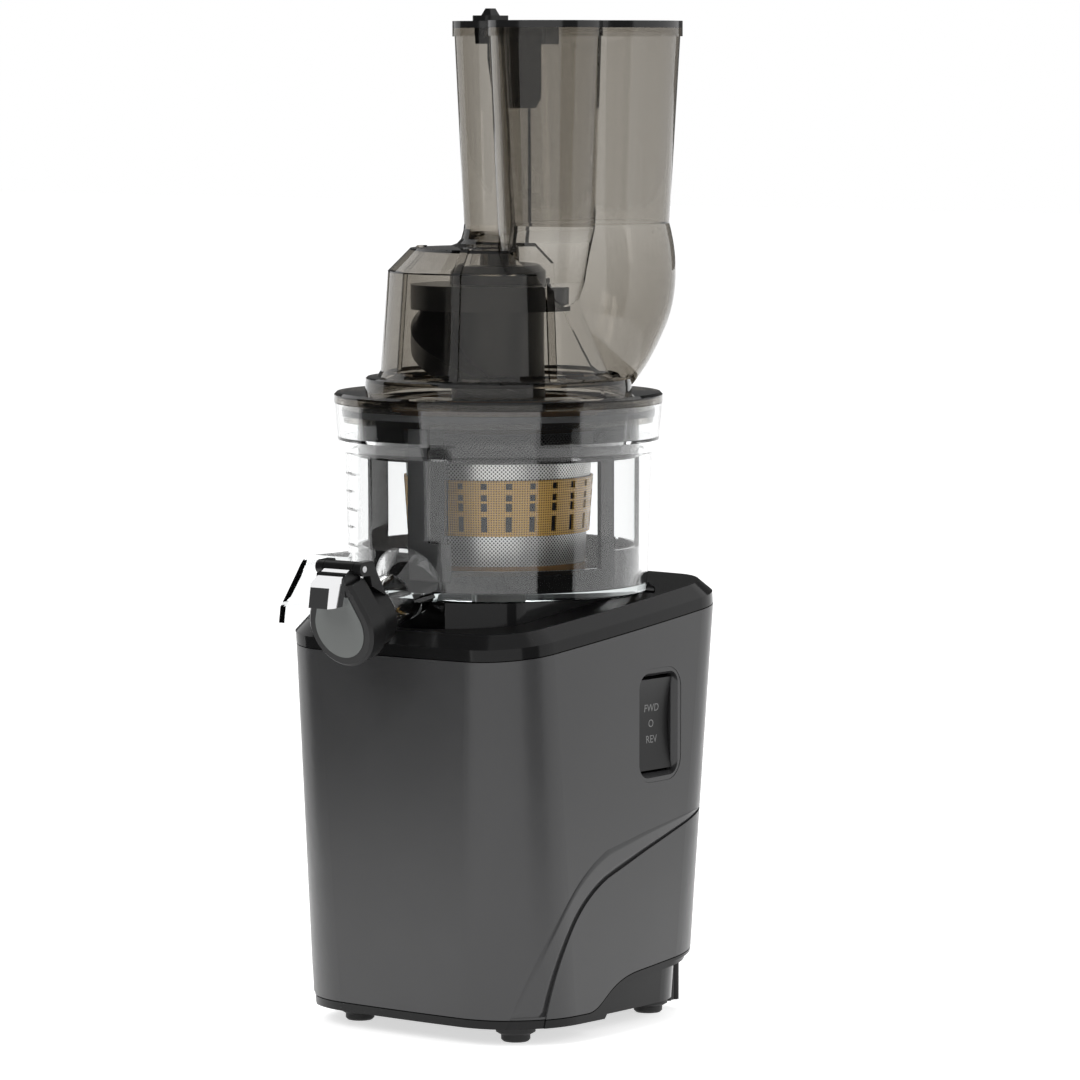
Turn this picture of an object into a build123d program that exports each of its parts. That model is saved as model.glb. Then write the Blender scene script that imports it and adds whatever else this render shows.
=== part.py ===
from build123d import *
from math import atan2, cos, degrees, pi, radians, sin, tan
import os

# Cold press juicer. Millimetres, +Z up, front towards -Y, drive axis on X = Y = 0,
# feet standing on Z = 0.

# ---- fits -------------------------------------------------------------------
GAP = 0.3             # between pieces of different bodies
SEAM = 0.5            # visible joint line between the body shells
RUNNING = 0.1         # radial play of a shaft in its bearing
EPS = 0.01
THROUGH = 600.0       # length of a cut that goes right through

# ---- body shells ------------------------------------------------------------
FOOT_HEIGHT = 9.0
FOOT_R = 9.5
FOOT_TIP_R = 7.0
FOOT_X = 48.5
FOOT_FRONT_Y = -47.5
FOOT_REAR_Y = 56.5

LOW_HALF_W = 77.0     # plan of the body at the feet
LOW_FRONT = 76.0
LOW_REAR = 79.5
LOW_CORNER = 41.0
HIGH_HALF_W = 77.0    # plan of the body at HIGH_Z
HIGH_FRONT = 84.0
HIGH_REAR = 94.5
HIGH_CORNER = 31.0
HIGH_Z = 200.0
SIDE_BOW = 3.0        # how far each side swells between its corners
SHELL = 3.0

TOP_SLOPE = 6.0       # the top falls towards the front
TOP_SEAM_Z = 192.4    # height of the cover's joint line above the drive axis
BAND_H = 6.0
COVER_H = 12.0
BEVEL_IN = 6.0
LIP_DROP = 5.0
LIP_WALL = 2.0
LIP_PLAY = 1.3

SKIRT_Z = 13.4        # joint line of the bottom cover, in front
SKIRT_S_START = -28.0
SKIRT_S_END = 14.0
SKIRT_RISE = 15.9
SKIRT_REAR_SLOPE = 0.09
GRIP_BAND = 5.0       # band left above the hand grip
GRIP_DEPTH = 7.5
GRIP_START = -13.5
GRIP_REAR_Y = 67.5    # rear wall between the two rear posts
GRIP_STEP = 2.4       # shallow step along the band's lower edge
GRIP_STEP_H = 3.2
REAR_POST_HALF = 5.0
REAR_POST_X = 48.0
REAR_POST_Y = 72.0
REAR_POST_Z = 4.0

CREASE_STEP = 0.8     # depth of the swept facet
CREASE_END_Y = 72.0   # where its two edges run together
CREASE_END_Z = 101.5
GLAND_R = 9.0

# ---- switch -----------------------------------------------------------------
SWITCH_Y = 28.0
SWITCH_Z = 146.5
BEZEL_W = 36.0
BEZEL_H = 55.0
BEZEL_DEPTH = 5.0
BEZEL_CORNER = 11.0
ROCKER_W = 26.0
ROCKER_H = 45.0
ROCKER_PIVOT_IN = 6.0   # pivot line behind the side of the body
ROCKER_PROUD = 3.0
ROCKER_BACK = 3.0
ROCKER_PLAY = 0.9
EAR = 2.0
SWITCH_DEEP = 19.0

# ---- seat and drive ---------------------------------------------------------
SEAT_R = 73.5
SEAT_HALF_W = 52.0
SEAT_CORNER = 18.0
BED_R = 75.5          # bed behind, in which the bowl's foot sinks into the cover
BED_Y = 40.0
SEAT_TOP = 209.5
SEAT_PLATE = 3.0
SEAT_WALL = 3.0
SEAT_DEPTH = 19.0
SPOUT_BAY = 23.5      # half width of the bay in the seat for the juice tube
SPOUT_BAY_Y = 57.0
SHAFT_R = 6.0
HEX_FLATS = 10.0
HEX_TOP = SEAT_TOP + 28.5
SEAL_R = 9.0
SEAL_H = 6.0
BEARING_R = 11.0
BEARING_H = 8.0

# ---- motor and gearbox ------------------------------------------------------
MOTOR_R = 36.0
MOTOR_WALL = 1.5
MOTOR_BASE_Z = 24.0
MOTOR_TOP_Z = 104.0
STATOR_BORE = 24.0
ROTOR_R = 23.4
ROTOR_SHAFT_R = 4.0
FAN_R = 30.0
BRACKET_H = 6.0
CASE_FLOOR = 3.0
CASE_H = 62.0
CASE_WALL = 2.5
CASE_PLAY = 2.5
LID_H = 4.0
GEAR_PLAY = 0.9

STAGE_1 = (1.0, 12, 54)     # module, pinion teeth, gear teeth
STAGE_2 = (1.1, 12, 48)
STAGE_3 = (1.5, 15, 51)
AXLE_R = 3.0

# ---- bowl -------------------------------------------------------------------
BOWL_Z = SEAT_TOP + GAP
BOWL_WALL = 2.8
BOWL_FLOOR = 3.8
BOWL_LOW_R = 72.2
BOWL_STEP_LOW_R = BOWL_LOW_R + 2.2
BOWL_STEP_LOW_Z = BOWL_Z + 66.7
BOWL_STEP_HIGH_R = BOWL_LOW_R + 5.6
BOWL_STEP_HIGH_Z = BOWL_Z + 73.2
BOWL_RIM_R = BOWL_LOW_R + 7.0
BOWL_RIM_Z = BOWL_Z + 90.7

TUBE_SLOPE = 16.0     # juice tube falls towards the front
TUBE_R = 12.6
TUBE_BORE = 10.3
TUBE_REACH = 34.8     # from the bowl's wall to the tube's end
TUBE_END_Y = -BOWL_LOW_R - TUBE_REACH
TUBE_END_Z = BOWL_Z - 6.76
FLARE_R = 22.0
FLARE_LEN = 14.0
COLLAR_R = 16.5
COLLAR_LEN = 10.0

DUCT_HALF_W = 17.0    # pulp duct on the left
DUCT_WALL = 2.4
DUCT_TOP = BOWL_Z + 11.8
DUCT_BEND_X = -BOWL_LOW_R - 31.8
DUCT_TIP_X = -BOWL_LOW_R - 54.3
DUCT_TIP_Z = BOWL_Z - 23.3
DUCT_MOUTH = 26.0
STOPPER_X = -BOWL_LOW_R - 6.4
STOPPER_R = 4.6
STOPPER_STEM_R = 3.0

# ---- strainer, wiper, auger -------------------------------------------------
WHEEL_Z = BOWL_Z + BOWL_FLOOR + GAP     # underside of the small wheels in the bowl
WHEEL_H = 5.0
TRAIN_MODULE = 1.5
AUGER_TEETH = 24
IDLER_TEETH = 16
RING_TEETH = 56
IDLER_ANGLE = 90.0
RING_RIM = 50.0

STRAINER_Z = WHEEL_Z + WHEEL_H + 0.7
MESH_LOW_Z = STRAINER_Z + 3.1
BAND_LOW_Z = STRAINER_Z + 19.2
BAND_HIGH_Z = STRAINER_Z + 45.9
MESH_HIGH_Z = STRAINER_Z + 71.4
STRAINER_TOP_Z = STRAINER_Z + 79.4
MESH_LOW_R = 41.6
MESH_HIGH_R = 46.2
MESH_WALL = 0.8
BAND_PROUD = 1.4
BAND_COLUMNS = 24      # columns of small openings in the band
BAND_HOLE_W = 3.0
BAND_ROWS = ((2.2, 7.3), (11.9, 3.9), (17.0, 3.0), (22.5, 3.0))   # height above its foot, and size
STRAINER_FEET = (30.0, 150.0, 270.0)

WIPER_R = BOWL_LOW_R - 4.0
WIPER_WALL = 2.2
WIPER_TOP_Z = WHEEL_Z + 82.1
WIPER_WINDOWS = ((-159.6, -88.8), (1.4, 36.4), (40.4, 92.4), (110.0, 185.0))
WINDOW_LOW_Z = WHEEL_Z + 18.1
WINDOW_HIGH_Z = WHEEL_Z + 61.1
FRONT_WINDOW = (-72.0, -6.5)
FRONT_WINDOW_Z = WHEEL_Z + 10.3
BLADE_ANGLES = (-84.6, 95.4)
BLADE_W = 11.0
BLADE_PROUD = 0.8        # how far a blade stands out of the drum
BLADE_CLIP = (-79.0, -70.0)
BLADE_CLIP_H = 18.0

AUGER_CORE_LOW = 29.0
AUGER_CORE_R = 22.8
FLIGHT_R = 38.6
AUGER_TOP_Z = BOWL_RIM_Z + 65.5
AUGER_PIN_R = 5.0
FEED_RING_R = 42.4
FEED_RING_H = 12.0
FEED_RING_Z = AUGER_TOP_Z - 20.5
FEED_BITE = (2.0, 92.0)    # open part of the feed ring, under the chute

# ---- hopper -----------------------------------------------------------------
LID_Z = BOWL_RIM_Z + 0.4
LID_R = BOWL_RIM_R + 0.3
HOPPER_WALL = 2.6
DOME_RING_R = 64.2
DOME_TOP_Z = LID_Z + 74.7
RIM_Z = 484.0
BIG_CHUTE = (30.0, 30.0)
BIG_TOP_R = 46.0
BIG_LOW_R = 40.4
CHUTE_LOW_Z = DOME_TOP_Z + 10.4
SMALL_CHUTE = (37.0, -9.0)
SMALL_TOP_R = 28.0
SMALL_LOW_R = 23.5
LOBE = (-14.0, 18.0)
LOBE_TOP_R = 21.9
LOBE_LOW_R = 16.5
RIM_RING = 3.4        # dark ring on the mouth
RIM_BAND = 4.0        # thickened lip under it
RIM_PROUD = 0.7
RIB_W = 4.0
RIB_PROUD = 1.3
RIB_ANGLES = (-72.6, -24.6, 143.4, 191.4)

GATE_X = -8.0         # hinge line of the gate, along Y
GATE_Z = RIM_Z - 6.0
GATE_Y0 = 3.4
GATE_Y1 = 41.0
GATE_DROP = 36.0
GATE_T = 2.4
GATE_PIN_R = 1.6
GATE_PIN_END = 1.6    # how far the pin reaches into each hinge block
GATE_TAB_Y0 = -4.5
GATE_TAB_Y1 = 12.5
GATE_NECK_Y0 = 4.0


# ---- small helpers ----------------------------------------------------------
def turned(points):
    """Solid of revolution about Z from an outline of (radius, height) points."""
    return revolve(Plane.XZ * make_face(Polyline(*points, close=True)), Axis.Z)


def ring(r_out, r_in, z0, z1):
    """Plain ring about Z."""
    height = z1 - z0
    body = Pos(0, 0, z0 + height / 2) * Cylinder(r_out, height)
    return body - Pos(0, 0, z0 + height / 2) * Cylinder(r_in, height + 1)


def rod(r, z0, z1, x=0.0, y=0.0):
    """Plain vertical cylinder."""
    return Pos(x, y, (z0 + z1) / 2) * Cylinder(r, z1 - z0)


def block(x0, x1, y0, y1, z0, z1):
    """Box between six planes."""
    return Pos((x0 + x1) / 2, (y0 + y1) / 2, (z0 + z1) / 2) * Box(x1 - x0, y1 - y0, z1 - z0)


def spin(angle):
    """Turn about the drive axis, in degrees."""
    return Rot(0, 0, angle)


def sector(r, start, end, z0, z1):
    """Wedge of a cylinder about Z between two angles under 180 degrees apart."""
    steps = 6
    angles = [radians(start + (end - start) * i / steps) for i in range(steps + 1)]
    reach = r / cos(radians((end - start) / steps / 2)) * 1.02
    points = [(0.0, 0.0)] + [(reach * cos(a), reach * sin(a)) for a in angles]
    return extrude(Pos(0, 0, z0) * make_face(Polyline(*points, close=True)), z1 - z0)


def write(node, shape):
    """Write one sub-part as a STEP file named after its node."""
    export_step(shape, f"parts/{node}.step")


# ---- body envelope ----------------------------------------------------------
def between(low, high, z):
    """Value at height z of a measure that changes evenly up the body."""
    return low + (high - low) * (z - FOOT_HEIGHT) / (HIGH_Z - FOOT_HEIGHT)


def plan(z, inset=0.0, slope=0.0):
    """Bowed, rounded rectangle of the body at height z, cut level or on a slope in degrees."""
    lean = tan(radians(slope))
    stretch = 1 / cos(radians(slope))
    half_w = between(LOW_HALF_W, HIGH_HALF_W, z) - inset
    front = between(LOW_FRONT, HIGH_FRONT, z - lean * HIGH_FRONT) * stretch - inset
    rear = between(LOW_REAR, HIGH_REAR, z + lean * HIGH_REAR) * stretch - inset
    corner = between(LOW_CORNER, HIGH_CORNER, z) - inset
    x, y0, y1 = half_w - SIDE_BOW, -(front - SIDE_BOW), rear - SIDE_BOW
    middle = (rear - front) / 2
    sides = [
        ThreePointArc((-x, y0), (0, -front), (x, y0)),
        ThreePointArc((x, y0), (half_w, middle), (x, y1)),
        ThreePointArc((x, y1), (0, rear), (-x, y1)),
        ThreePointArc((-x, y1), (-half_w, middle), (-x, y0)),
    ]
    outline = make_face(sides)
    return fillet(outline.vertices(), corner)


def envelope(inset, z0, z1):
    """Tapered body form between two heights, drawn in by inset."""
    return loft([Pos(0, 0, z0) * plan(z0, inset), Pos(0, 0, z1) * plan(z1, inset)], ruled=True)


SLOPED = Plane(origin=(0, 0, TOP_SEAM_Z), x_dir=(1, 0, 0),
               z_dir=(0, -sin(radians(TOP_SLOPE)), cos(radians(TOP_SLOPE))))


def cover_section(height, inset=0.0):
    """Plan of the top cover at a height above its sloping joint line."""
    return SLOPED * (Pos(0, 0, height) * plan(TOP_SEAM_Z, inset, TOP_SLOPE))


def cover_prism(inset, low, high):
    """Prism of the cover's plan between two heights over its joint line."""
    return loft([cover_section(low, inset), cover_section(high, inset)], ruled=True)


def above_slope(height):
    """Everything above the sloping plane at that height over the joint line."""
    return SLOPED * (Pos(0, 0, height + 100) * Box(400, 400, 200))


def skirt_profile(drop):
    """Side outline of the bottom cover: level in front, an S, then a gentle rise."""
    z0 = SKIRT_Z - drop
    z1 = z0 + SKIRT_RISE
    rear_y = HIGH_REAR + 20
    rear_z = z1 + (rear_y - SKIRT_S_END) * SKIRT_REAR_SLOPE
    s_curve = Bezier((SKIRT_S_START, z0), (SKIRT_S_START / 2, z0),
                     (-SKIRT_S_END, z1 - 2), (SKIRT_S_END, z1))
    rest = Polyline((SKIRT_S_END, z1), (rear_y, rear_z), (rear_y, -30),
                    (-HIGH_FRONT - 20, -30), (-HIGH_FRONT - 20, z0), (SKIRT_S_START, z0))
    side = Plane.YZ * make_face([s_curve, rest])
    return Pos(-HIGH_HALF_W - 20, 0, 0) * extrude(side, 2 * (HIGH_HALF_W + 20))


def grip_profile(grow=0.0):
    """Region under the side band, drawn in for the fingers, made larger by grow."""
    z1 = SKIRT_Z + SKIRT_RISE - GRIP_BAND + grow
    rear_y = HIGH_REAR + 20
    rear_z = z1 + (rear_y - SKIRT_S_END) * SKIRT_REAR_SLOPE
    start, low = GRIP_START - grow, FOOT_HEIGHT - 2
    s_curve = Bezier((start, low), (start / 2, SKIRT_Z + 2), (start / 4, z1 - 1), (SKIRT_S_END, z1))
    rest = Polyline((SKIRT_S_END, z1), (rear_y, rear_z), (rear_y, -30), (start, -30), (start, low))
    side = Plane.YZ * make_face([s_curve, rest])
    return Pos(-HIGH_HALF_W - 20, 0, 0) * extrude(side, 2 * (HIGH_HALF_W + 20))


def grip_body(inset):
    """Body form inside the hand grips, flat at the rear, drawn in by inset."""
    form = envelope(GRIP_DEPTH + inset, FOOT_HEIGHT - 1, TOP_SEAM_Z)
    return form - block(-90, 90, GRIP_REAR_Y - inset, 130, 0, TOP_SEAM_Z + 1)


def crease_profile(inner):
    """Region of the side below and behind the outer or the inner crease line."""
    if inner:
        curve = Bezier((-56, -20), (-55, 38), (-40, 64), (-12, 76.5))
        rest = [(-12, 76.5), (18, 86.5), (58, 98.5), (CREASE_END_Y, CREASE_END_Z)]
    else:
        curve = Bezier((-70, -8), (-66, 40), (-46, 76), (-13, 90))
        rest = [(-13, 90), (18, 96), (58, 102), (CREASE_END_Y, CREASE_END_Z)]
    rest += [(130, CREASE_END_Z), (130, -30), tuple(curve @ 0)[:2]]
    side = Plane.YZ * make_face([curve, Polyline(*rest)])
    return Pos(-HIGH_HALF_W - 20, 0, 0) * extrude(side, 2 * (HIGH_HALF_W + 20))


def crease_cut():
    """Shallow swept facet on both sides, between the two crease lines."""
    low, high = FOOT_HEIGHT - 1, CREASE_END_Z + 10
    strip = crease_profile(False) - crease_profile(True)
    return (envelope(-5, low, high) - envelope(CREASE_STEP, low - 1, high + 1)) & strip


def switch_prism(width, height, corner, x0, x1):
    """Rounded prism along X at the switch's place on the right side."""
    face = Plane.YZ * Pos(SWITCH_Y, SWITCH_Z) * RectangleRounded(width, height, corner)
    return Pos(x0, 0, 0) * extrude(face, x1 - x0)


# ---- housing, covers, feet --------------------------------------------------
def housing():
    """Tapered middle shell with the side panels, the switch and the cord openings."""
    low, high = FOOT_HEIGHT, TOP_SEAM_Z + 30
    shell = envelope(0, low, high) - envelope(SHELL, low - 1, high + 1)
    shell = shell - above_slope(0) - skirt_profile(0) - crease_cut()
    shell = shell - switch_prism(BEZEL_W, BEZEL_H, BEZEL_CORNER, 40, 100)
    return shell - Pos(0, LOW_REAR, 60) * Rot(90, 0, 0) * Cylinder(GLAND_R, 40)


def rear_post(x):
    """Ribbed post that stands under the rear edge."""
    half = REAR_POST_HALF
    ceiling = SKIRT_Z + SKIRT_RISE - GRIP_BAND + (REAR_POST_Y + half - SKIRT_S_END) * SKIRT_REAR_SLOPE
    low, high = REAR_POST_Z, ceiling + 1.0
    post = block(x - half + 1, x + half - 1, REAR_POST_Y - half + 1, REAR_POST_Y + half - 1, low, high)
    for dx in (-half + 2, 0, half - 2):
        for dy in (-half + 2, half - 2):
            post = post + rod(2.0, low, high, x + dx, REAR_POST_Y + dy)
    return post


def bottom_cover():
    """Thin tray with an S-shaped joint line, hand grips at the rear and two rear posts."""
    low, high = FOOT_HEIGHT, TOP_SEAM_Z
    solid = envelope(0, low, high) & skirt_profile(SEAM)
    solid = solid - (grip_profile() - grip_body(0))
    solid = solid - (grip_profile(GRIP_STEP_H) - envelope(GRIP_STEP, low - 1, high))
    hollow = envelope(SHELL + GRIP_STEP, low + SHELL, high + 1)
    hollow = hollow - (grip_profile(GRIP_STEP_H + SHELL) - grip_body(SHELL))
    tray = solid - hollow
    lip_in = SHELL + LIP_PLAY
    lip = envelope(lip_in, low, high) - envelope(lip_in + LIP_WALL, low - 1, high + 1)
    tray = tray + ((lip & skirt_profile(-LIP_DROP)) - skirt_profile(SEAM + 1.5))
    for x in (-REAR_POST_X, REAR_POST_X):
        tray = tray + rear_post(x)
    return tray - crease_cut()


def top_cover():
    """Bevelled, sloping cover with a round opening for the bowl seat."""
    outer = loft([cover_section(SEAM), cover_section(BAND_H), cover_section(COVER_H, BEVEL_IN)],
                 ruled=True)
    inner = loft([cover_section(SEAM - 1, SHELL), cover_section(BAND_H, SHELL),
                  cover_section(COVER_H - SHELL, BEVEL_IN + SHELL)], ruled=True)
    lip = (cover_prism(SHELL + LIP_PLAY, -LIP_DROP, BAND_H - 1)
           + cover_prism(SHELL - 0.5, SEAM + 0.5, BAND_H - 1)
           - cover_prism(SHELL + LIP_PLAY + LIP_WALL, -LIP_DROP - 1, BAND_H))
    return (outer - inner) + lip - seat_outline_solid(SEAM, 0, 2 * SEAT_TOP)


def foot(x, y):
    """Stepped round rubber foot."""
    step = FOOT_HEIGHT * 0.35
    body = turned([(0, 0), (FOOT_TIP_R - 1, 0), (FOOT_TIP_R, 1), (FOOT_TIP_R, step),
                   (FOOT_R, step + 1.5), (FOOT_R, FOOT_HEIGHT), (0, FOOT_HEIGHT)])
    return Pos(x, y, 0) * body


def cord_gland():
    """Bushing in the rear wall where a supply cord would enter."""
    gland = turned([(3.2, -4), (GLAND_R + 2.5, -4), (GLAND_R + 2.5, -2), (GLAND_R - RUNNING, -2),
                    (GLAND_R - RUNNING, 6), (3.2, 6)])
    rear = LOW_REAR + (HIGH_REAR - LOW_REAR) * (60 - FOOT_HEIGHT) / (HIGH_Z - FOOT_HEIGHT)
    return Pos(0, rear - SHELL - 3, 60) * Rot(-90, 0, 0) * (Pos(0, 0, 1.5) * gland)


# ---- switch -----------------------------------------------------------------
def switch_bezel():
    """Dished frame set flush into the right side."""
    plate = switch_prism(BEZEL_W - 2 * RUNNING, BEZEL_H - 2 * RUNNING, BEZEL_CORNER, 60, 90)
    plate = plate & (envelope(0.2, FOOT_HEIGHT, HIGH_Z) - block(-90, HIGH_HALF_W - BEZEL_DEPTH - 1,
                                                                -120, 120, 0, 220))
    opening_w = ROCKER_W + 2 * ROCKER_PLAY
    opening_h = ROCKER_H + 2 * ROCKER_PLAY
    hole = switch_prism(opening_w, opening_h, 1.0, 40, 100)
    low = Plane.YZ * Pos(SWITCH_Y, SWITCH_Z) * RectangleRounded(opening_w, opening_h, 1.0)
    high = Plane.YZ * Pos(SWITCH_Y, SWITCH_Z) * RectangleRounded(BEZEL_W - 3, BEZEL_H - 3,
                                                                 BEZEL_CORNER - 1.5)
    dish = loft([Pos(HIGH_HALF_W - BEZEL_DEPTH + 1, 0, 0) * low, Pos(HIGH_HALF_W + 1, 0, 0) * high],
                ruled=True)
    return plate - hole - dish


def pivot_x():
    return HIGH_HALF_W - ROCKER_PIVOT_IN


def rocker_button():
    """Rocker with raised ends and a hollow middle, turning about a line along Y."""
    x = pivot_x()
    face = x + ROCKER_PROUD
    half = ROCKER_H / 2
    outline = make_face([
        Polyline((x - ROCKER_BACK, SWITCH_Z + half - 1), (x, SWITCH_Z + half),
                 (face, SWITCH_Z + half - 0.5)),
        ThreePointArc((face, SWITCH_Z + half - 0.5), (face - 2.4, SWITCH_Z),
                      (face, SWITCH_Z - half + 0.5)),
        Polyline((face, SWITCH_Z - half + 0.5), (x, SWITCH_Z - half),
                 (x - ROCKER_BACK, SWITCH_Z - half + 1), (x - ROCKER_BACK, SWITCH_Z + half - 1)),
    ])
    side = Pos(0, SWITCH_Y + ROCKER_W / 2, 0) * (Plane.XZ * outline)
    rocker = extrude(side, ROCKER_W)
    barrel = Pos(x, SWITCH_Y, SWITCH_Z) * Rot(90, 0, 0) * Cylinder(ROCKER_BACK + 0.8, ROCKER_W)
    barrel = barrel - block(x, x + 20, SWITCH_Y - ROCKER_W, SWITCH_Y + ROCKER_W, 0, THROUGH)
    return rocker + barrel


def switch_body():
    """Switch block behind the rocker, with two ears that hold its pivot."""
    back = pivot_x() - SWITCH_DEEP
    front = pivot_x() - 7
    body = block(back, front, SWITCH_Y - 15, SWITCH_Y + 15, SWITCH_Z - 25, SWITCH_Z + 25)
    bezel_back = HIGH_HALF_W - BEZEL_DEPTH - 1
    for side in (-1, 1):
        inner = SWITCH_Y + side * (ROCKER_W / 2 + ROCKER_PLAY + 0.2)
        outer = inner + side * EAR
        body = body + block(front - 1, bezel_back, min(inner, outer), max(inner, outer),
                            SWITCH_Z - 20, SWITCH_Z + 20)
    for z in (-12, 0, 12):
        body = body + block(back - 4, back, SWITCH_Y - 3, SWITCH_Y + 3, SWITCH_Z + z - 0.4,
                            SWITCH_Z + z + 0.4)
    return body


# ---- gears ------------------------------------------------------------------
def gear_outline(module, teeth, phase, internal=False):
    """Flat outline of a spur wheel with a tooth centred on the phase angle."""
    pitch_r = module * teeth / 2
    outward = -1 if internal else 1
    root = pitch_r - outward * 0.95 * module
    tip = pitch_r + outward * 0.72 * module
    step = 2 * pi / teeth
    points = []
    for i in range(teeth):
        centre = radians(phase) + i * step
        for radius, share in ((root, -0.27), (tip, -0.12), (tip, 0.12), (root, 0.27)):
            angle = centre + share * step
            points.append((radius * cos(angle), radius * sin(angle)))
    return make_face(Polyline(*points, close=True))


def gear(module, teeth, phase, z0, z1, at=(0.0, 0.0)):
    """Spur wheel standing on z0, around a vertical line."""
    return Pos(at[0], at[1], z0) * extrude(gear_outline(module, teeth, phase), z1 - z0)


def centre_distance(stage):
    module, small, large = stage
    return module * (small + large) / 2


def cluster_places():
    """Plan positions of the two gear clusters; motor and output share the drive axis."""
    d1, d2, d3 = (centre_distance(s) for s in (STAGE_1, STAGE_2, STAGE_3))
    y = (d3 ** 2 - d2 ** 2 + d1 ** 2) / (2 * d1)
    return (0.0, d1), (-((d3 ** 2 - y ** 2) ** 0.5), y)


FIRST, SECOND = cluster_places()
CASE_Z = MOTOR_TOP_Z + BRACKET_H
STAGE_1_Z = (CASE_Z + 6, CASE_Z + 14)
STAGE_2_Z = (CASE_Z + 17, CASE_Z + 25)
STAGE_3_Z = (CASE_Z + 32, CASE_Z + 47)


def bearing_angle(start, end):
    return degrees(atan2(end[1] - start[1], end[0] - start[0]))


def gap_phase(start, end, teeth):
    """Phase that puts a tooth gap of the wheel at end towards the wheel at start."""
    return bearing_angle(end, start) + 180 / teeth


def first_cluster():
    """Large wheel of stage 1 with the pinion of stage 2."""
    wheel = gear(STAGE_1[0], STAGE_1[2], gap_phase((0, 0), FIRST, STAGE_1[2]), *STAGE_1_Z, FIRST)
    pinion = gear(STAGE_2[0], STAGE_2[1], bearing_angle(FIRST, SECOND), STAGE_1_Z[1],
                  STAGE_2_Z[1] + 1, FIRST)
    return (wheel + pinion) - rod(AXLE_R + RUNNING, 0, THROUGH, *FIRST)


def second_cluster():
    """Large wheel of stage 2 with the pinion of stage 3."""
    wheel = gear(STAGE_2[0], STAGE_2[2], gap_phase(FIRST, SECOND, STAGE_2[2]), *STAGE_2_Z, SECOND)
    pinion = gear(STAGE_3[0], STAGE_3[1], bearing_angle(SECOND, (0, 0)), STAGE_2_Z[1],
                  STAGE_3_Z[1] + 1, SECOND)
    return (wheel + pinion) - rod(AXLE_R + RUNNING, 0, THROUGH, *SECOND)


def output_gear():
    """Last wheel, on the drive shaft, with six lightening holes."""
    wheel = gear(STAGE_3[0], STAGE_3[2], gap_phase(SECOND, (0, 0), STAGE_3[2]), *STAGE_3_Z)
    for i in range(6):
        hole_r = STAGE_3[0] * STAGE_3[2] / 8
        wheel = wheel - spin(60 * i) * rod(hole_r * 0.7, 0, THROUGH, 2.4 * hole_r, 0)
    return wheel - rod(SHAFT_R, 0, THROUGH)


def gearbox_outline(grow):
    """Hull of the wheels' circles."""
    circles = []
    for (x, y), stage in (((0.0, 0.0), STAGE_3), (FIRST, STAGE_1), (SECOND, STAGE_2)):
        radius = stage[0] * stage[2] / 2 + stage[0] + CASE_PLAY + grow
        circles.append(CenterArc((x, y), radius, 0, 360))
    return make_face(make_hull([e for c in circles for e in c.edges()]))


def gearbox_case():
    """Cast tray that holds the wheels, with the two fixed axles' bosses."""
    outer = extrude(Pos(0, 0, CASE_Z) * gearbox_outline(CASE_WALL), CASE_H - LID_H)
    inner = extrude(Pos(0, 0, CASE_Z + CASE_FLOOR) * gearbox_outline(0), CASE_H)
    case = outer - inner - rod(ROTOR_SHAFT_R + 1, 0, THROUGH)
    return case


def gearbox_lid():
    """Lid with the tower that carries the drive shaft's bearings."""
    z0 = CASE_Z + CASE_H - LID_H
    lid = extrude(Pos(0, 0, z0) * gearbox_outline(CASE_WALL), LID_H)
    tower_top = SEAT_TOP - SEAL_H - GAP
    lid = lid + ring(BEARING_R + 3, BEARING_R, z0, tower_top)
    return lid - rod(BEARING_R, z0 - 1, tower_top + 1)


def bearing(z0):
    """Ball bearing, drawn as its closed outer form."""
    outline = [(SHAFT_R + RUNNING, z0), (SHAFT_R + 1.6, z0), (SHAFT_R + 1.6, z0 + 0.4),
               (BEARING_R - 1.6, z0 + 0.4), (BEARING_R - 1.6, z0), (BEARING_R, z0),
               (BEARING_R, z0 + BEARING_H), (BEARING_R - 1.6, z0 + BEARING_H),
               (BEARING_R - 1.6, z0 + BEARING_H - 0.4), (SHAFT_R + 1.6, z0 + BEARING_H - 0.4),
               (SHAFT_R + 1.6, z0 + BEARING_H), (SHAFT_R + RUNNING, z0 + BEARING_H)]
    return turned(outline)


def gear_axles():
    """The two fixed axles, standing in the gearbox floor."""
    first = rod(AXLE_R, CASE_Z + CASE_FLOOR, STAGE_2_Z[1] + 3, *FIRST)
    second = rod(AXLE_R, CASE_Z + CASE_FLOOR, CASE_Z + CASE_H - LID_H, *SECOND)
    seat_r = AXLE_R + 1.5
    seats = [rod(seat_r, CASE_Z + CASE_FLOOR, STAGE_1_Z[0] - GAP, *FIRST),
             rod(seat_r, CASE_Z + CASE_FLOOR, STAGE_2_Z[0] - GAP, *SECOND)]
    return first + second + seats


def drive_shaft():
    """Round shaft with a hexagonal upper end."""
    hex_start = SEAT_TOP + 2
    shaft = rod(SHAFT_R, STAGE_3_Z[0] - 4, hex_start)
    hexagon = RegularPolygon(HEX_FLATS / 2, 6, major_radius=False)
    end = extrude(Pos(0, 0, hex_start) * hexagon, HEX_TOP - hex_start)
    return shaft + end


# ---- motor ------------------------------------------------------------------
def motor_can():
    """Deep-drawn motor can, open at the top."""
    can = rod(MOTOR_R, MOTOR_BASE_Z, MOTOR_TOP_Z) - rod(MOTOR_R - MOTOR_WALL,
                                                        MOTOR_BASE_Z + 2, MOTOR_TOP_Z + 1)
    for i in range(6):
        vent = Pos(MOTOR_R * 0.62, 0, MOTOR_BASE_Z) * Box(10, 5, 8)
        can = can - spin(60 * i) * vent
    return can - rod(ROTOR_SHAFT_R + 1, 0, THROUGH)


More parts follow.
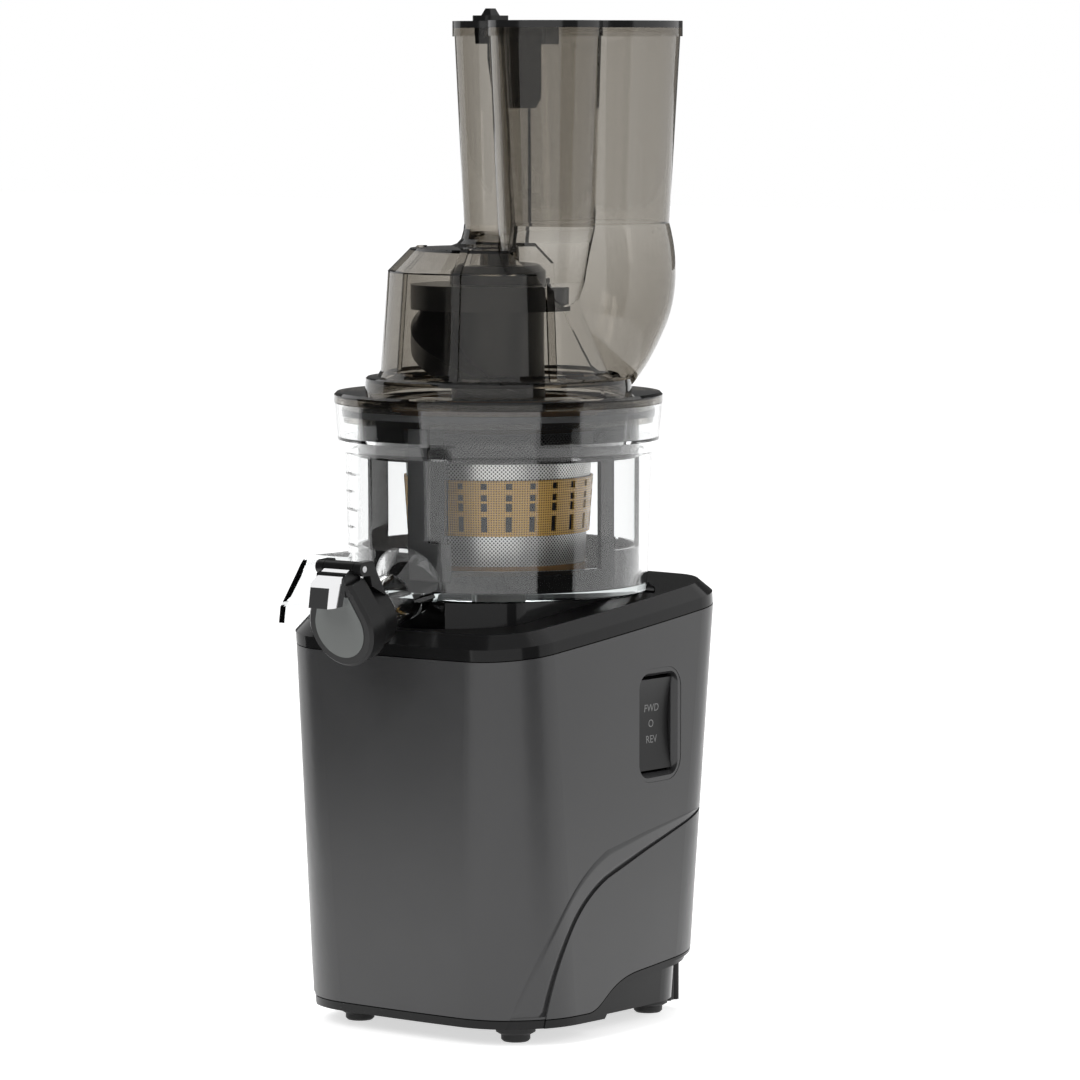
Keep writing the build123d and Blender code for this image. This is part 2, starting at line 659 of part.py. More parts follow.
def motor_stator():
    """Laminated ring with its winding rolls."""
    core = ring(MOTOR_R - MOTOR_WALL, STATOR_BORE, 42, 84)
    coils = ring(MOTOR_R - 4, STATOR_BORE + 2, 34, 42) + ring(MOTOR_R - 4, STATOR_BORE + 2, 84, 92)
    return core + coils


def motor_rotor():
    """Rotor stack on its shaft."""
    return rod(ROTOR_R, 42, 84) + rod(ROTOR_SHAFT_R, 14, STAGE_1_Z[1] + 2)


def motor_fan():
    """Cooling fan under the motor, with straight blades."""
    z0, z1 = 15.0, MOTOR_BASE_Z - 2
    fan = ring(7, ROTOR_SHAFT_R, z0, z1) + ring(FAN_R, ROTOR_SHAFT_R + 2, z0, z0 + 1.2)
    for i in range(8):
        fan = fan + spin(45 * i) * block(6, FAN_R - 1, -0.7, 0.7, z0, z1)
    return fan


def motor_pinion():
    """Pinion of stage 1, on the motor shaft."""
    wheel = gear(STAGE_1[0], STAGE_1[1], bearing_angle((0, 0), FIRST), STAGE_1_Z[0] - 1,
                 STAGE_1_Z[1] + 1)
    return wheel - rod(ROTOR_SHAFT_R, 0, THROUGH)


def motor_bracket():
    """End bracket between motor can and gearbox, with three feet to the bottom cover."""
    plate = rod(MOTOR_R + 4, MOTOR_TOP_Z, CASE_Z) - rod(ROTOR_SHAFT_R + RUNNING, 0, THROUGH)
    for angle in (30, 150, 270):
        leg = rod(5, FOOT_HEIGHT + SHELL, CASE_Z, MOTOR_R + 7, 0)
        plate = plate + spin(angle) * (leg + block(MOTOR_R, MOTOR_R + 8, -5, 5, MOTOR_TOP_Z, CASE_Z))
    return plate


def control_board():
    """Circuit board on the floor behind the motor, with its larger components."""
    z0 = FOOT_HEIGHT + SHELL
    board = block(-30, 30, 36, 56, z0 + 5, z0 + 6.6)
    for x in (-26, 26):
        board = board + rod(2.5, z0, z0 + 5, x, 46)
    parts = [block(-24, -10, 38, 52, z0 + 6.6, z0 + 20), block(14, 24, 38, 54, z0 + 6.6, z0 + 16),
             rod(5, z0 + 6.6, z0 + 24, 2, 46)]
    return board + parts


# ---- seat -------------------------------------------------------------------
def seat_outline(grow):
    """Plan of the seat: a round pedestal with flat sides and a round bed behind."""
    flat = Circle(SEAT_R + grow) & Rectangle(2 * (SEAT_HALF_W + grow), 4 * SEAT_R)
    flat = fillet(flat.vertices(), SEAT_CORNER)
    bed = Circle(BED_R + grow) & (Pos(0, BED_Y - grow + BED_R) * Rectangle(4 * BED_R, 2 * BED_R))
    return flat + bed


def seat_outline_solid(grow, z0, z1):
    """Upright prism of the seat's plan."""
    return extrude(Pos(0, 0, z0) * seat_outline(grow), z1 - z0)


def seat_bay(grow, z0, z1):
    """Bay in the seat's front for the juice tube."""
    return block(-SPOUT_BAY - grow, SPOUT_BAY + grow, -SEAT_R - 10, -SPOUT_BAY_Y + grow, z0, z1)


def bowl_seat():
    """Raised seat under the bowl, with a bay for the juice tube."""
    low = SEAT_TOP - SEAT_DEPTH
    seat = seat_outline_solid(0, low, SEAT_TOP)
    seat = seat - seat_outline_solid(-SEAT_WALL, low - 1, SEAT_TOP - SEAT_PLATE)
    liner = seat_bay(2, low, SEAT_TOP) & seat_outline_solid(0, low, SEAT_TOP)
    seat = (seat + liner) - seat_bay(0, low - 1, SEAT_TOP + 1)
    return seat - rod(SEAL_R, 0, 2 * SEAT_TOP)


def shaft_seal():
    """Lip seal in the seat around the drive shaft."""
    top = SEAT_TOP
    return turned([(SHAFT_R + RUNNING, top - SEAL_H), (SEAL_R + 3, top - SEAL_H),
                   (SEAL_R + 3, top - SEAT_PLATE),
                   (SEAL_R, top - SEAT_PLATE), (SEAL_R, top), (SHAFT_R + 1, top),
                   (SHAFT_R + RUNNING, top - 1)])


# ---- bowl -------------------------------------------------------------------
def tube_frame(y):
    """Frame on the juice tube's axis at that Y, with local Z pointing down the tube."""
    slope = radians(TUBE_SLOPE)
    z = TUBE_END_Z + (y - TUBE_END_Y) * tan(slope)
    return Plane(origin=(0, y, z), x_dir=(1, 0, 0), z_dir=(0, -cos(slope), -sin(slope)))


def along_tube(y_start, y_end):
    return (y_start - y_end) / cos(radians(TUBE_SLOPE))


def tube_rod(r, y_start, y_end):
    """Cylinder on the juice tube's axis between two Y places."""
    length = along_tube(y_start, y_end)
    return tube_frame(y_start) * (Pos(0, 0, length / 2) * Cylinder(r, length))


def duct_outline(wall):
    """Side outline of the pulp duct on (X, Z), or of its room when a wall is given."""
    top, base, tip_z = DUCT_TOP - wall, BOWL_Z + wall, DUCT_TIP_Z
    bend, tip = DUCT_BEND_X + 0.4 * wall, DUCT_TIP_X + wall
    shoulder = (DUCT_BEND_X - 11 + 0.9 * wall, DUCT_TOP - 10 - 0.5 * wall)
    heel = DUCT_TIP_X + DUCT_MOUTH - wall
    foot_x = -BOWL_LOW_R - 11.8
    return make_face([
        Line((-60, top), (bend, top)),
        Bezier((bend, top), (bend - 6, top), (bend - 8, top - 5), shoulder),
        Polyline(shoulder, (tip + 1, tip_z + 8), (tip, tip_z), (heel, tip_z), (heel, tip_z + 8)),
        Bezier((heel, tip_z + 8), (heel + 1, tip_z + 18 + wall), (foot_x - 8, base), (foot_x, base)),
        Polyline((foot_x, base), (-60, base), (-60, top)),
    ])


def duct_solid():
    """Pulp duct of its full section."""
    return Pos(0, DUCT_HALF_W, 0) * extrude(Plane.XZ * duct_outline(0), 2 * DUCT_HALF_W)


def duct_room():
    """Way through the pulp duct, open into the bowl and out of the mouth."""
    half_w = DUCT_HALF_W - DUCT_WALL
    room = Pos(0, half_w, 0) * extrude(Plane.XZ * duct_outline(DUCT_WALL), 2 * half_w)
    mouth = block(DUCT_TIP_X + DUCT_WALL, DUCT_TIP_X + DUCT_MOUTH - DUCT_WALL, -half_w, half_w,
                  DUCT_TIP_Z - 5, DUCT_TIP_Z + EPS)
    return room + mouth


def juicing_bowl():
    """Clear bowl with a stepped rim, a sloping juice tube and a pulp duct."""
    floor = BOWL_Z + BOWL_FLOOR
    outer = turned([(0, BOWL_Z), (BOWL_LOW_R - 0.5, BOWL_Z), (BOWL_LOW_R, BOWL_Z + 0.5),
                    (BOWL_STEP_LOW_R, BOWL_STEP_LOW_Z), (BOWL_STEP_HIGH_R, BOWL_STEP_HIGH_Z),
                    (BOWL_RIM_R, BOWL_RIM_Z), (0, BOWL_RIM_Z)])
    wall = BOWL_WALL
    room = turned([(0, floor), (BOWL_LOW_R - wall, floor),
                   (BOWL_STEP_LOW_R - wall, BOWL_STEP_LOW_Z + 1.5),
                   (BOWL_STEP_HIGH_R - wall, BOWL_STEP_HIGH_Z + 1.5),
                   (BOWL_RIM_R - wall, BOWL_RIM_Z + 1), (0, BOWL_RIM_Z + 1)])
    flare = tube_frame(-BOWL_LOW_R + 6) * (Pos(0, 0, FLARE_LEN / 2) * Cone(FLARE_R, TUBE_R, FLARE_LEN))
    flare = flare - block(-90, 90, -120, 0, 100, BOWL_Z)
    tube = tube_rod(TUBE_R, -BOWL_LOW_R + 4, TUBE_END_Y)
    reach = along_tube(-BOWL_LOW_R + 6, TUBE_END_Y) + 5
    bore = tube_frame(-BOWL_LOW_R + 6) * turned([
        (0, 0), (FLARE_R - TUBE_R + TUBE_BORE, 0), (TUBE_BORE, FLARE_LEN), (TUBE_BORE, reach), (0, reach)])
    bore = bore - block(-90, 90, -BOWL_LOW_R - 12, 0, 0, floor)
    straight = tube_rod(TUBE_BORE, -BOWL_LOW_R + 8, TUBE_END_Y - 5)
    bore = bore + (straight - block(-90, 90, -BOWL_LOW_R, 0, 0, floor))
    bowl = (outer + flare + tube + duct_solid()) - room
    bowl = bowl - bore - duct_room()
    return bowl - rod(SEAL_R, 0, THROUGH) - stopper_hole()


def bowl_bush():
    """Silicone bush in the bowl's floor around the drive shaft."""
    top = BOWL_Z + BOWL_FLOOR
    return turned([(SHAFT_R + GAP, BOWL_Z), (SEAL_R, BOWL_Z), (SEAL_R, top - 0.2),
                   (SHAFT_R + GAP, top - 0.2)])


def idler_place():
    distance = TRAIN_MODULE * (AUGER_TEETH + IDLER_TEETH) / 2
    return distance * cos(radians(IDLER_ANGLE)), distance * sin(radians(IDLER_ANGLE))


def idler_pin():
    """Steel pin in the bowl's floor that carries the idler."""
    floor = BOWL_Z + BOWL_FLOOR
    return rod(AXLE_R, floor, WHEEL_Z + WHEEL_H + 0.2, *idler_place())


def pulp_stopper():
    """Silicone stopper under the pulp duct."""
    head = rod(STOPPER_R, BOWL_Z - 3.2, BOWL_Z, STOPPER_X)
    return head + rod(STOPPER_STEM_R, BOWL_Z - EPS, BOWL_Z + DUCT_WALL, STOPPER_X)


def stopper_hole():
    """Hole for the stopper in the duct's floor."""
    return rod(STOPPER_STEM_R, BOWL_Z - 1, BOWL_Z + DUCT_WALL + 1, STOPPER_X)


# ---- juice tube collar and flip cap -----------------------------------------
HINGE_RISE = 27.0     # hinge line above the tube's axis, square to it
HINGE_FORWARD = 2.5   # hinge line in front of the tube's end
HINGE_R = 3.4
PIN_R = 1.5
CAP_RING_R = 19.2
CAP_RING_T = 11.0
CAP_START = 1.2       # back of the cap, in front of the tube's end
FACE_R = 14.4
FACE_T = 1.6
FACE_PROUD = 0.3
HANDLE_W = 15.5
HINGE_HALF_W = 9.0
EAR_W = 4.5


def tube_end():
    """Frame at the middle of the tube's end: X right, Y up, Z out along the tube."""
    frame = tube_frame(TUBE_END_Y)
    return Plane(origin=frame.origin, x_dir=(1, 0, 0), z_dir=frame.z_dir)


def spout_collar():
    """Dark ring on the end of the juice tube with two hinge ears."""
    length = COLLAR_LEN
    body = Pos(0, 0, -length / 2 - 0.2) * Cylinder(COLLAR_R, length)
    bore = Pos(0, 0, -length / 2) * Cylinder(TUBE_R + EPS, length + 4)
    z, y = HINGE_FORWARD, HINGE_RISE
    arm_side = make_face(Polyline((COLLAR_R * 0.6, -length + 1), (COLLAR_R + 1, -0.4),
                                  (y - HINGE_R - 1, -0.4), (y - HINGE_R, z), (y + HINGE_R, z),
                                  (y + 2, -length * 0.4), close=True))
    for side in (-1, 1):
        x = side * (HINGE_HALF_W + GAP + EAR_W / 2)
        body = body + Pos(x - EAR_W / 2, 0, 0) * extrude(Plane.YZ * arm_side, EAR_W)
        body = body + Pos(x, y, z) * Rot(0, 90, 0) * Cylinder(HINGE_R, EAR_W)
    pin = Pos(0, y, z) * Rot(0, 90, 0) * Cylinder(PIN_R, 60)
    return tube_end() * (body - bore - pin)


def cap_hinge_pin():
    """Steel pin through the collar's ears."""
    length = 2 * (HINGE_HALF_W + GAP + EAR_W)
    pin = Pos(0, HINGE_RISE, HINGE_FORWARD) * Rot(0, 90, 0) * Cylinder(PIN_R, length)
    return tube_end() * pin


def drop_outline(r, top_y, top_half):
    """Teardrop: a circle with two tangents that close towards a narrow top."""
    angle = 22.0
    a = radians(angle)
    right = (r * cos(a), r * sin(a))
    return make_face([
        ThreePointArc((-right[0], right[1]), (0, -r), right),
        Polyline(right, (top_half, top_y), (-top_half, top_y), (-right[0], right[1])),
    ])


def cap_lever():
    """Black flip cap: teardrop cup with its hinge barrel."""
    drop = drop_outline(CAP_RING_R, HINGE_RISE, HINGE_HALF_W)
    cup = Pos(0, 0, CAP_START) * extrude(drop, CAP_RING_T)
    cup = chamfer(cup.faces().sort_by(Axis.Z)[-1].edges(), 1.5)
    cup = cup - Pos(0, 0, CAP_START + CAP_RING_T - FACE_T) * extrude(face_outline(RUNNING), 5)
    barrel = Pos(0, HINGE_RISE, HINGE_FORWARD) * Rot(0, 90, 0) * Cylinder(HINGE_R, 2 * HINGE_HALF_W)
    lever = cup + barrel
    for side in (-1, 1):
        near, far = side * HINGE_HALF_W, side * (HINGE_HALF_W + 12)
        lever = lever - block(min(near, far), max(near, far), HINGE_RISE - HINGE_R - 1.6,
                              HINGE_RISE + 10, -5, 40)
    bore = Pos(0, HINGE_RISE, HINGE_FORWARD) * Rot(0, 90, 0) * Cylinder(PIN_R + RUNNING, 60)
    return tube_end() * (lever - bore) - cap_handle()


def face_outline(grow):
    """Outline of the flat face disc, drawn in towards the handle."""
    return drop_outline(FACE_R + grow, FACE_R * 1.12 + grow, FACE_R * 0.62 + grow)


def cap_face():
    """Gray disc set into the cap, with a fine bright rim."""
    start = CAP_START + CAP_RING_T - FACE_T
    return tube_end() * (Pos(0, 0, start) * extrude(face_outline(0), FACE_T + FACE_PROUD))


def cap_handle():
    """Metal thumb piece: a wedge with bevelled front edges."""
    front = CAP_START + CAP_RING_T
    side = Plane.YZ * make_face(Polyline(
        (HINGE_RISE + 0.7, front - 5.8), (HINGE_RISE - 3.5, front + 8.1), (HINGE_RISE - 12.3, front + 12.2),
        (HINGE_RISE - 14.8, front + FACE_PROUD), (HINGE_RISE - 8, front + FACE_PROUD),
        (HINGE_RISE - 5, front - 5.8), close=True))
    wedge = Pos(-HANDLE_W / 2, 0, 0) * extrude(side, HANDLE_W)
    nose = [e for e in wedge.edges() if min((e @ 0).Z, (e @ 1).Z) > front + 5 and abs((e @ 0).X - (e @ 1).X) < 1]
    return tube_end() * chamfer(nose, 2.0)


def cap_plug():
    """Silicone plug that closes the tube's end."""
    plug = revolve(Plane.XZ * make_face(Polyline(
        (0, -3.0), (TUBE_BORE - 2.4, -3.0), (TUBE_BORE - 1.6, GAP), (CAP_RING_R - 3, GAP),
        (CAP_RING_R - 3, CAP_START), (0, CAP_START), close=True)), Axis.Z)
    return tube_end() * plug


# ---- strainer ---------------------------------------------------------------
def mesh_radius(z):
    """Outer radius of the strainer wall at a height."""
    return MESH_LOW_R + (MESH_HIGH_R - MESH_LOW_R) * (z - MESH_LOW_Z) / (MESH_HIGH_Z - MESH_LOW_Z)


def strainer_mesh():
    """Perforated steel wall, drawn as a plain thin cone."""
    low, high = MESH_LOW_Z, MESH_HIGH_Z
    return turned([(mesh_radius(low) - MESH_WALL, low), (mesh_radius(low), low),
                   (mesh_radius(high), high), (mesh_radius(high) - MESH_WALL, high)])


def strainer_frame():
    """Amber frame: base with feet, waist band with ribs and windows, and top ring."""
    r_low = mesh_radius(MESH_LOW_Z + 1.5) + EPS
    base = turned([(SEAL_R + 12, STRAINER_Z), (r_low + 1.2, STRAINER_Z),
                   (r_low + 1.2, MESH_LOW_Z + 1.5), (r_low, MESH_LOW_Z + 1.5), (r_low, MESH_LOW_Z),
                   (r_low - 3, MESH_LOW_Z), (SEAL_R + 12, STRAINER_Z + 1.6)])
    base = base - Pos(-32, 0, STRAINER_Z) * Box(12, 14, 12)
    for angle in STRAINER_FEET:
        foot_z = BOWL_Z + BOWL_FLOOR
        base = base + spin(angle) * rod(3.2, foot_z, STRAINER_Z + 1, 34)
    high_r = mesh_radius(MESH_HIGH_Z)
    top = turned([(high_r, MESH_HIGH_Z - 3), (high_r + 2.4, MESH_HIGH_Z - 3),
                  (high_r + 2.4, STRAINER_TOP_Z - 2), (high_r + 7, STRAINER_TOP_Z - 2),
                  (high_r + 7, STRAINER_TOP_Z), (high_r - MESH_WALL, STRAINER_TOP_Z),
                  (high_r - MESH_WALL, MESH_HIGH_Z), (high_r, MESH_HIGH_Z)])
    return [base, top]


def strainer_band():
    """Amber waist band with four rows of small openings."""
    low, high = BAND_LOW_Z, BAND_HIGH_Z
    band = turned([(mesh_radius(low) + GAP, low), (mesh_radius(low) + BAND_PROUD, low),
                   (mesh_radius(high) + BAND_PROUD, high), (mesh_radius(high) + GAP, high)])
    holes = []
    for i in range(BAND_COLUMNS):
        for rise, height in BAND_ROWS:
            hole = block(MESH_LOW_R - 3, MESH_HIGH_R + 5, -BAND_HOLE_W / 2, BAND_HOLE_W / 2,
                         low + rise, low + rise + height)
            holes.append(spin(360 / BAND_COLUMNS * i) * hole)
    return band - holes


# ---- wiper ------------------------------------------------------------------
def wiper_frame():
    """Windowed drum that turns around the strainer, on a ring with inner teeth."""
    z0, z1 = WHEEL_Z, WHEEL_Z + WHEEL_H
    drum = turned([(RING_RIM - 2, z0), (WIPER_R, z0), (WIPER_R, WIPER_TOP_Z),
                   (WIPER_R - WIPER_WALL, WIPER_TOP_Z), (WIPER_R - WIPER_WALL, z0 + 3),
                   (RING_RIM - 2, z0 + 3)])
    rim = ring(RING_RIM, RING_RIM - 3, z0, z1)
    teeth = extrude(Pos(0, 0, z0) * (Circle(RING_RIM - 1)
                                     - gear_outline(TRAIN_MODULE, RING_TEETH, IDLER_ANGLE, True)),
                    WHEEL_H)
    wiper = drum + rim + teeth
    core = rod(WIPER_R - 8, 0, THROUGH)
    for start, end in WIPER_WINDOWS:
        wiper = wiper - (sector(WIPER_R + 5, start, end, WINDOW_LOW_Z, WINDOW_HIGH_Z) - core)
    wiper = wiper - (sector(WIPER_R + 5, *FRONT_WINDOW, FRONT_WINDOW_Z, WINDOW_HIGH_Z) - core)
    for angle in (20, 70, 120, 170, 220, 270, 320):
        drain = sector(WIPER_R - WIPER_WALL - 3, angle - 14, angle + 14, z0 - 1, z1 + 1)
        wiper = wiper - (drain - rod(RING_RIM + 3, 0, THROUGH))
    return wiper - [blade_slot(angle, 0) for angle in BLADE_ANGLES]


def blade_slot(angle, play):
    """Upright slot in the drum that a blade is clipped into."""
    half = BLADE_W / 2 - play
    slot = block(WIPER_R - WIPER_WALL - 3, WIPER_R + 5, -half, half,
                 WHEEL_Z + 5 + play, WIPER_TOP_Z - 5 - play)
    return spin(angle) * slot


def wiper_blades():
    """Two silicone blades through the drum: outer edge near the bowl, inner edge near the strainer."""
    low, high = WHEEL_Z + 5, WIPER_TOP_Z - 5
    skin = rod(WIPER_R + BLADE_PROUD, 0, THROUGH)
    blades = []
    for angle in BLADE_ANGLES:
        fin = block(mesh_radius(high) + BAND_PROUD + 1.2, WIPER_R - WIPER_WALL, -1.6, 1.6, low + EPS, high - EPS)
        blades.append((blade_slot(angle, EPS) & skin) + spin(angle) * fin)
    start, end = BLADE_CLIP
    clip = sector(WIPER_R + 5, start - 6, end, low, low + BLADE_CLIP_H) & skin
    blades[0] = blades[0] + (clip - rod(WIPER_R, 0, THROUGH))
    return blades


def idler():
    """Small wheel between the auger's wheel and the wiper's ring."""
    x, y = idler_place()
    phase = bearing_angle((x, y), (0, 0)) + 180 / IDLER_TEETH
    wheel = gear(TRAIN_MODULE, IDLER_TEETH, phase, WHEEL_Z, WHEEL_Z + WHEEL_H - 0.5, (x, y))
    return wheel - rod(AXLE_R + RUNNING, 0, THROUGH, x, y)


# ---- auger ------------------------------------------------------------------
def twisted(r, width_angle, core, z0, z1, turn, start):
    """Helical flight: a sector of a disc drawn up the axis while it turns."""
    steps = 6
    angles = [radians(width_angle * (i / steps - 0.5)) for i in range(steps + 1)]
    points = [(r * cos(a), r * sin(a)) for a in angles]
    inner = [(core * 0.6 * cos(a), core * 0.6 * sin(a)) for a in (angles[-1], angles[0])]
    face = make_face(Polyline(*points, *inner, close=True))
    solid = Solid.extrude_linear_with_rotation(face.faces()[0], (0, 0, 0), (0, 0, z1 - z0), turn)
    return Pos(0, 0, z0) * spin(start) * solid


def auger():
    """Screw with two pressing flights and one wide feeding blade on its upper drum."""
    low = WHEEL_Z + WHEEL_H
    gear_low = gear(TRAIN_MODULE, AUGER_TEETH, IDLER_ANGLE, WHEEL_Z, low)
    press_low, press_high = STRAINER_Z + 3.5, MESH_HIGH_Z + 2
    core = turned([(0, low), (17, low), (17, press_low), (AUGER_CORE_LOW, press_low),
                   (AUGER_CORE_R, press_high - 15), (AUGER_CORE_R, AUGER_TOP_Z - 3),
                   (AUGER_CORE_R - 3, AUGER_TOP_Z), (AUGER_PIN_R, AUGER_TOP_Z),
                   (AUGER_PIN_R, AUGER_TOP_Z + 6), (0, AUGER_TOP_Z + 6)])
    screw = core
    for start in (0, 180):
        screw = screw + twisted(FLIGHT_R, 26, AUGER_CORE_R, press_low, press_high, -300, start)
    screw = screw + twisted(FEED_RING_R, 34, AUGER_CORE_R, LID_Z + 1, FEED_RING_Z + 1, -150, -40)
    disc = ring(FEED_RING_R, AUGER_CORE_R - 1, FEED_RING_Z, FEED_RING_Z + FEED_RING_H)
    bite = sector(FEED_RING_R + 5, *FEED_BITE, FEED_RING_Z - 1, FEED_RING_Z + FEED_RING_H + 1)
    screw = screw + (disc - (bite - rod(AUGER_CORE_R, 0, THROUGH)))
    socket = RegularPolygon(HEX_FLATS / 2 + GAP, 6, major_radius=False)
    hole = extrude(Pos(0, 0, low - 1) * socket, HEX_TOP + 2 - low)
    return (screw + gear_low) - hole - rod(SHAFT_R + GAP, 0, low + EPS)


# ---- hopper -----------------------------------------------------------------
def cone_at(place, r0, z0, r1, z1):
    """Upright cone between two heights about a place in plan."""
    body = turned([(0, z0), (r0, z0), (r1, z1), (0, z1)])
    return Pos(place[0], place[1], 0) * body


def dome_body(inset):
    """Lid flange, stepped ring and dome, or the room inside them."""
    z = LID_Z
    if inset:
        r = DOME_RING_R - inset
        return turned([(0, z - 15), (r, z - 15), (r, z + 9.4), (r - 5.6, z + 9.8), (r - 7.2, z + 13),
                       (r - 10.8, z + 62.3), (r - 20.4, DOME_TOP_Z - inset - 0.4), (0, DOME_TOP_Z - inset)])
    r = DOME_RING_R
    return turned([(0, z), (LID_R, z), (LID_R, z + 3.6), (LID_R - 1.2, z + 4.8), (r + 0.4, z + 5.3),
                   (r, z + 11.3), (r - 0.8, z + 12), (r - 5.6, z + 12.4), (r - 7.2, z + 15),
                   (r - 10.8, z + 63.1), (r - 21.7, DOME_TOP_Z - 0.6), (0, DOME_TOP_Z)])


def flange_room():
    """Hollow under the lid's flange."""
    return ring(LID_R - 2.4, DOME_RING_R + 0.6, LID_Z - 1, LID_Z + HOPPER_WALL)


def scoop_body(inset):
    """Bulb under the large chute that leads the food to the auger."""
    z = LID_Z
    points = [(BIG_LOW_R, CHUTE_LOW_Z + 1), (BIG_LOW_R + 3.2, z + 60.1), (BIG_LOW_R + 0.8, z + 43.1),
              (BIG_LOW_R - 4.6, z + 29.1), (BIG_LOW_R - 12.2, z + 15.1), (BIG_LOW_R - 18.4, z + 7.1)]
    outer = [(r - inset, height + inset * 0.55) for r, height in points]
    outline = make_face([Spline(*outer),
                         Polyline(outer[-1], (0, outer[-1][1]), (0, outer[0][1]), outer[0])])
    return Pos(BIG_CHUTE[0], BIG_CHUTE[1], 0) * revolve(Plane.XZ * outline, Axis.Z)


def small_chute(inset, top):
    """Narrow chute in front of the large one, drawn in under its foot."""
    low = LID_Z + (65.1 if inset else 71.1)
    body = turned([(0, LID_Z + 24.1), (8 - inset * 0.5, LID_Z + 24.1), (20 - inset, LID_Z + 59.1),
                   (SMALL_LOW_R - inset, low + 13), (SMALL_TOP_R - inset, top), (0, top)])
    return Pos(SMALL_CHUTE[0], SMALL_CHUTE[1], 0) * body


def small_room():
    """Space inside the small chute, up to the wall of the large one."""
    wall = HOPPER_WALL
    big = cone_at(BIG_CHUTE, BIG_LOW_R, CHUTE_LOW_Z, BIG_TOP_R, RIM_Z)
    divider = big - cone_at(BIG_CHUTE, BIG_LOW_R - wall, CHUTE_LOW_Z - 1, BIG_TOP_R - wall, RIM_Z + 1)
    return small_chute(wall, RIM_Z + 1) - divider


def lobe_foot():
    """Rounded foot where the side lobe meets the dome."""
    z, r = DOME_TOP_Z, LOBE_LOW_R
    foot = turned([(0, z - 1), (r + 7, z - 1), (r + 7, z - 0.3), (r + 4, z + 0.8), (r + 2, z + 3),
                   (r + 0.9, z + 7), (r + 0.4, z + 12), (0, z + 12)])
    return (Pos(LOBE[0], LOBE[1], 0) * foot) & rod(DOME_RING_R - 21.7, 0, THROUGH)


def chute_top_band(z0, z1):
    """Slab of the three chutes' plan, a little proud of their walls."""
    band = None
    for place, r in ((BIG_CHUTE, BIG_TOP_R), (SMALL_CHUTE, SMALL_TOP_R), (LOBE, LOBE_TOP_R)):
        lip = rod(r + RIM_PROUD, z0, z1, *place)
        band = lip if band is None else band + lip
    return band


def chute_room():
    """Space inside the large chute and its side lobe."""
    inset = HOPPER_WALL
    big = cone_at(BIG_CHUTE, BIG_LOW_R - inset, CHUTE_LOW_Z - 2, BIG_TOP_R - inset, RIM_Z + EPS)
    lobe = cone_at(LOBE, LOBE_LOW_R - inset, DOME_TOP_Z + 0.2, LOBE_TOP_R - inset, RIM_Z + EPS)
    return big + lobe


def hopper():
    """Smoky one-piece hopper: lid, dome, scoop, large chute, small chute and side lobe."""
    lip_z = RIM_Z - RIM_RING
    big = cone_at(BIG_CHUTE, BIG_LOW_R, CHUTE_LOW_Z, BIG_TOP_R, RIM_Z)
    lobe = cone_at(LOBE, LOBE_LOW_R, DOME_TOP_Z - 2, LOBE_TOP_R, RIM_Z)
    outer = dome_body(0) + scoop_body(0) + big + small_chute(0, RIM_Z) + lobe
    outer = outer + lobe_foot() + chute_top_band(lip_z - RIM_BAND, lip_z) + dome_ribs()
    body = outer - flange_room() - dome_body(HOPPER_WALL) - scoop_body(HOPPER_WALL)
    body = body - chute_room() - small_room() - block(-200, 200, -200, 200, lip_z, RIM_Z + 10)
    skirt_r = BOWL_RIM_R - BOWL_WALL - 1.4
    skirt = ring(skirt_r, skirt_r - HOPPER_WALL, LID_Z - 9, LID_Z + HOPPER_WALL + EPS)
    boss = ring(9.0, AUGER_PIN_R + GAP, AUGER_TOP_Z + GAP, DOME_TOP_Z - 1)
    return body + skirt + boss


def chute_rim():
    """Dark ring on the mouth of the chutes."""
    return chute_top_band(RIM_Z - RIM_RING, RIM_Z) - chute_room() - small_room()


def dome_ribs():
    """Upright ribs on the dome's side and chamfer."""
    low, high = LID_Z + 12, DOME_TOP_Z
    proud = turned([(40, low), (58 + RIB_PROUD, low), (57 + RIB_PROUD, low + 3),
                    (53.4 + RIB_PROUD, LID_Z + 63.7), (43.5, high), (40, high)])
    slabs = [spin(a) * block(40, 62, -RIB_W / 2, RIB_W / 2, low, high) for a in RIB_ANGLES]
    ribs = None
    for slab in slabs:
        ribs = (proud & slab) if ribs is None else ribs + (proud & slab)
    return ribs


def hopper_seal():
    """Silicone ring around the hopper's skirt."""
    r = BOWL_RIM_R - BOWL_WALL - 1.4
    return ring(r + 0.75, r, LID_Z - 6, LID_Z - 3)


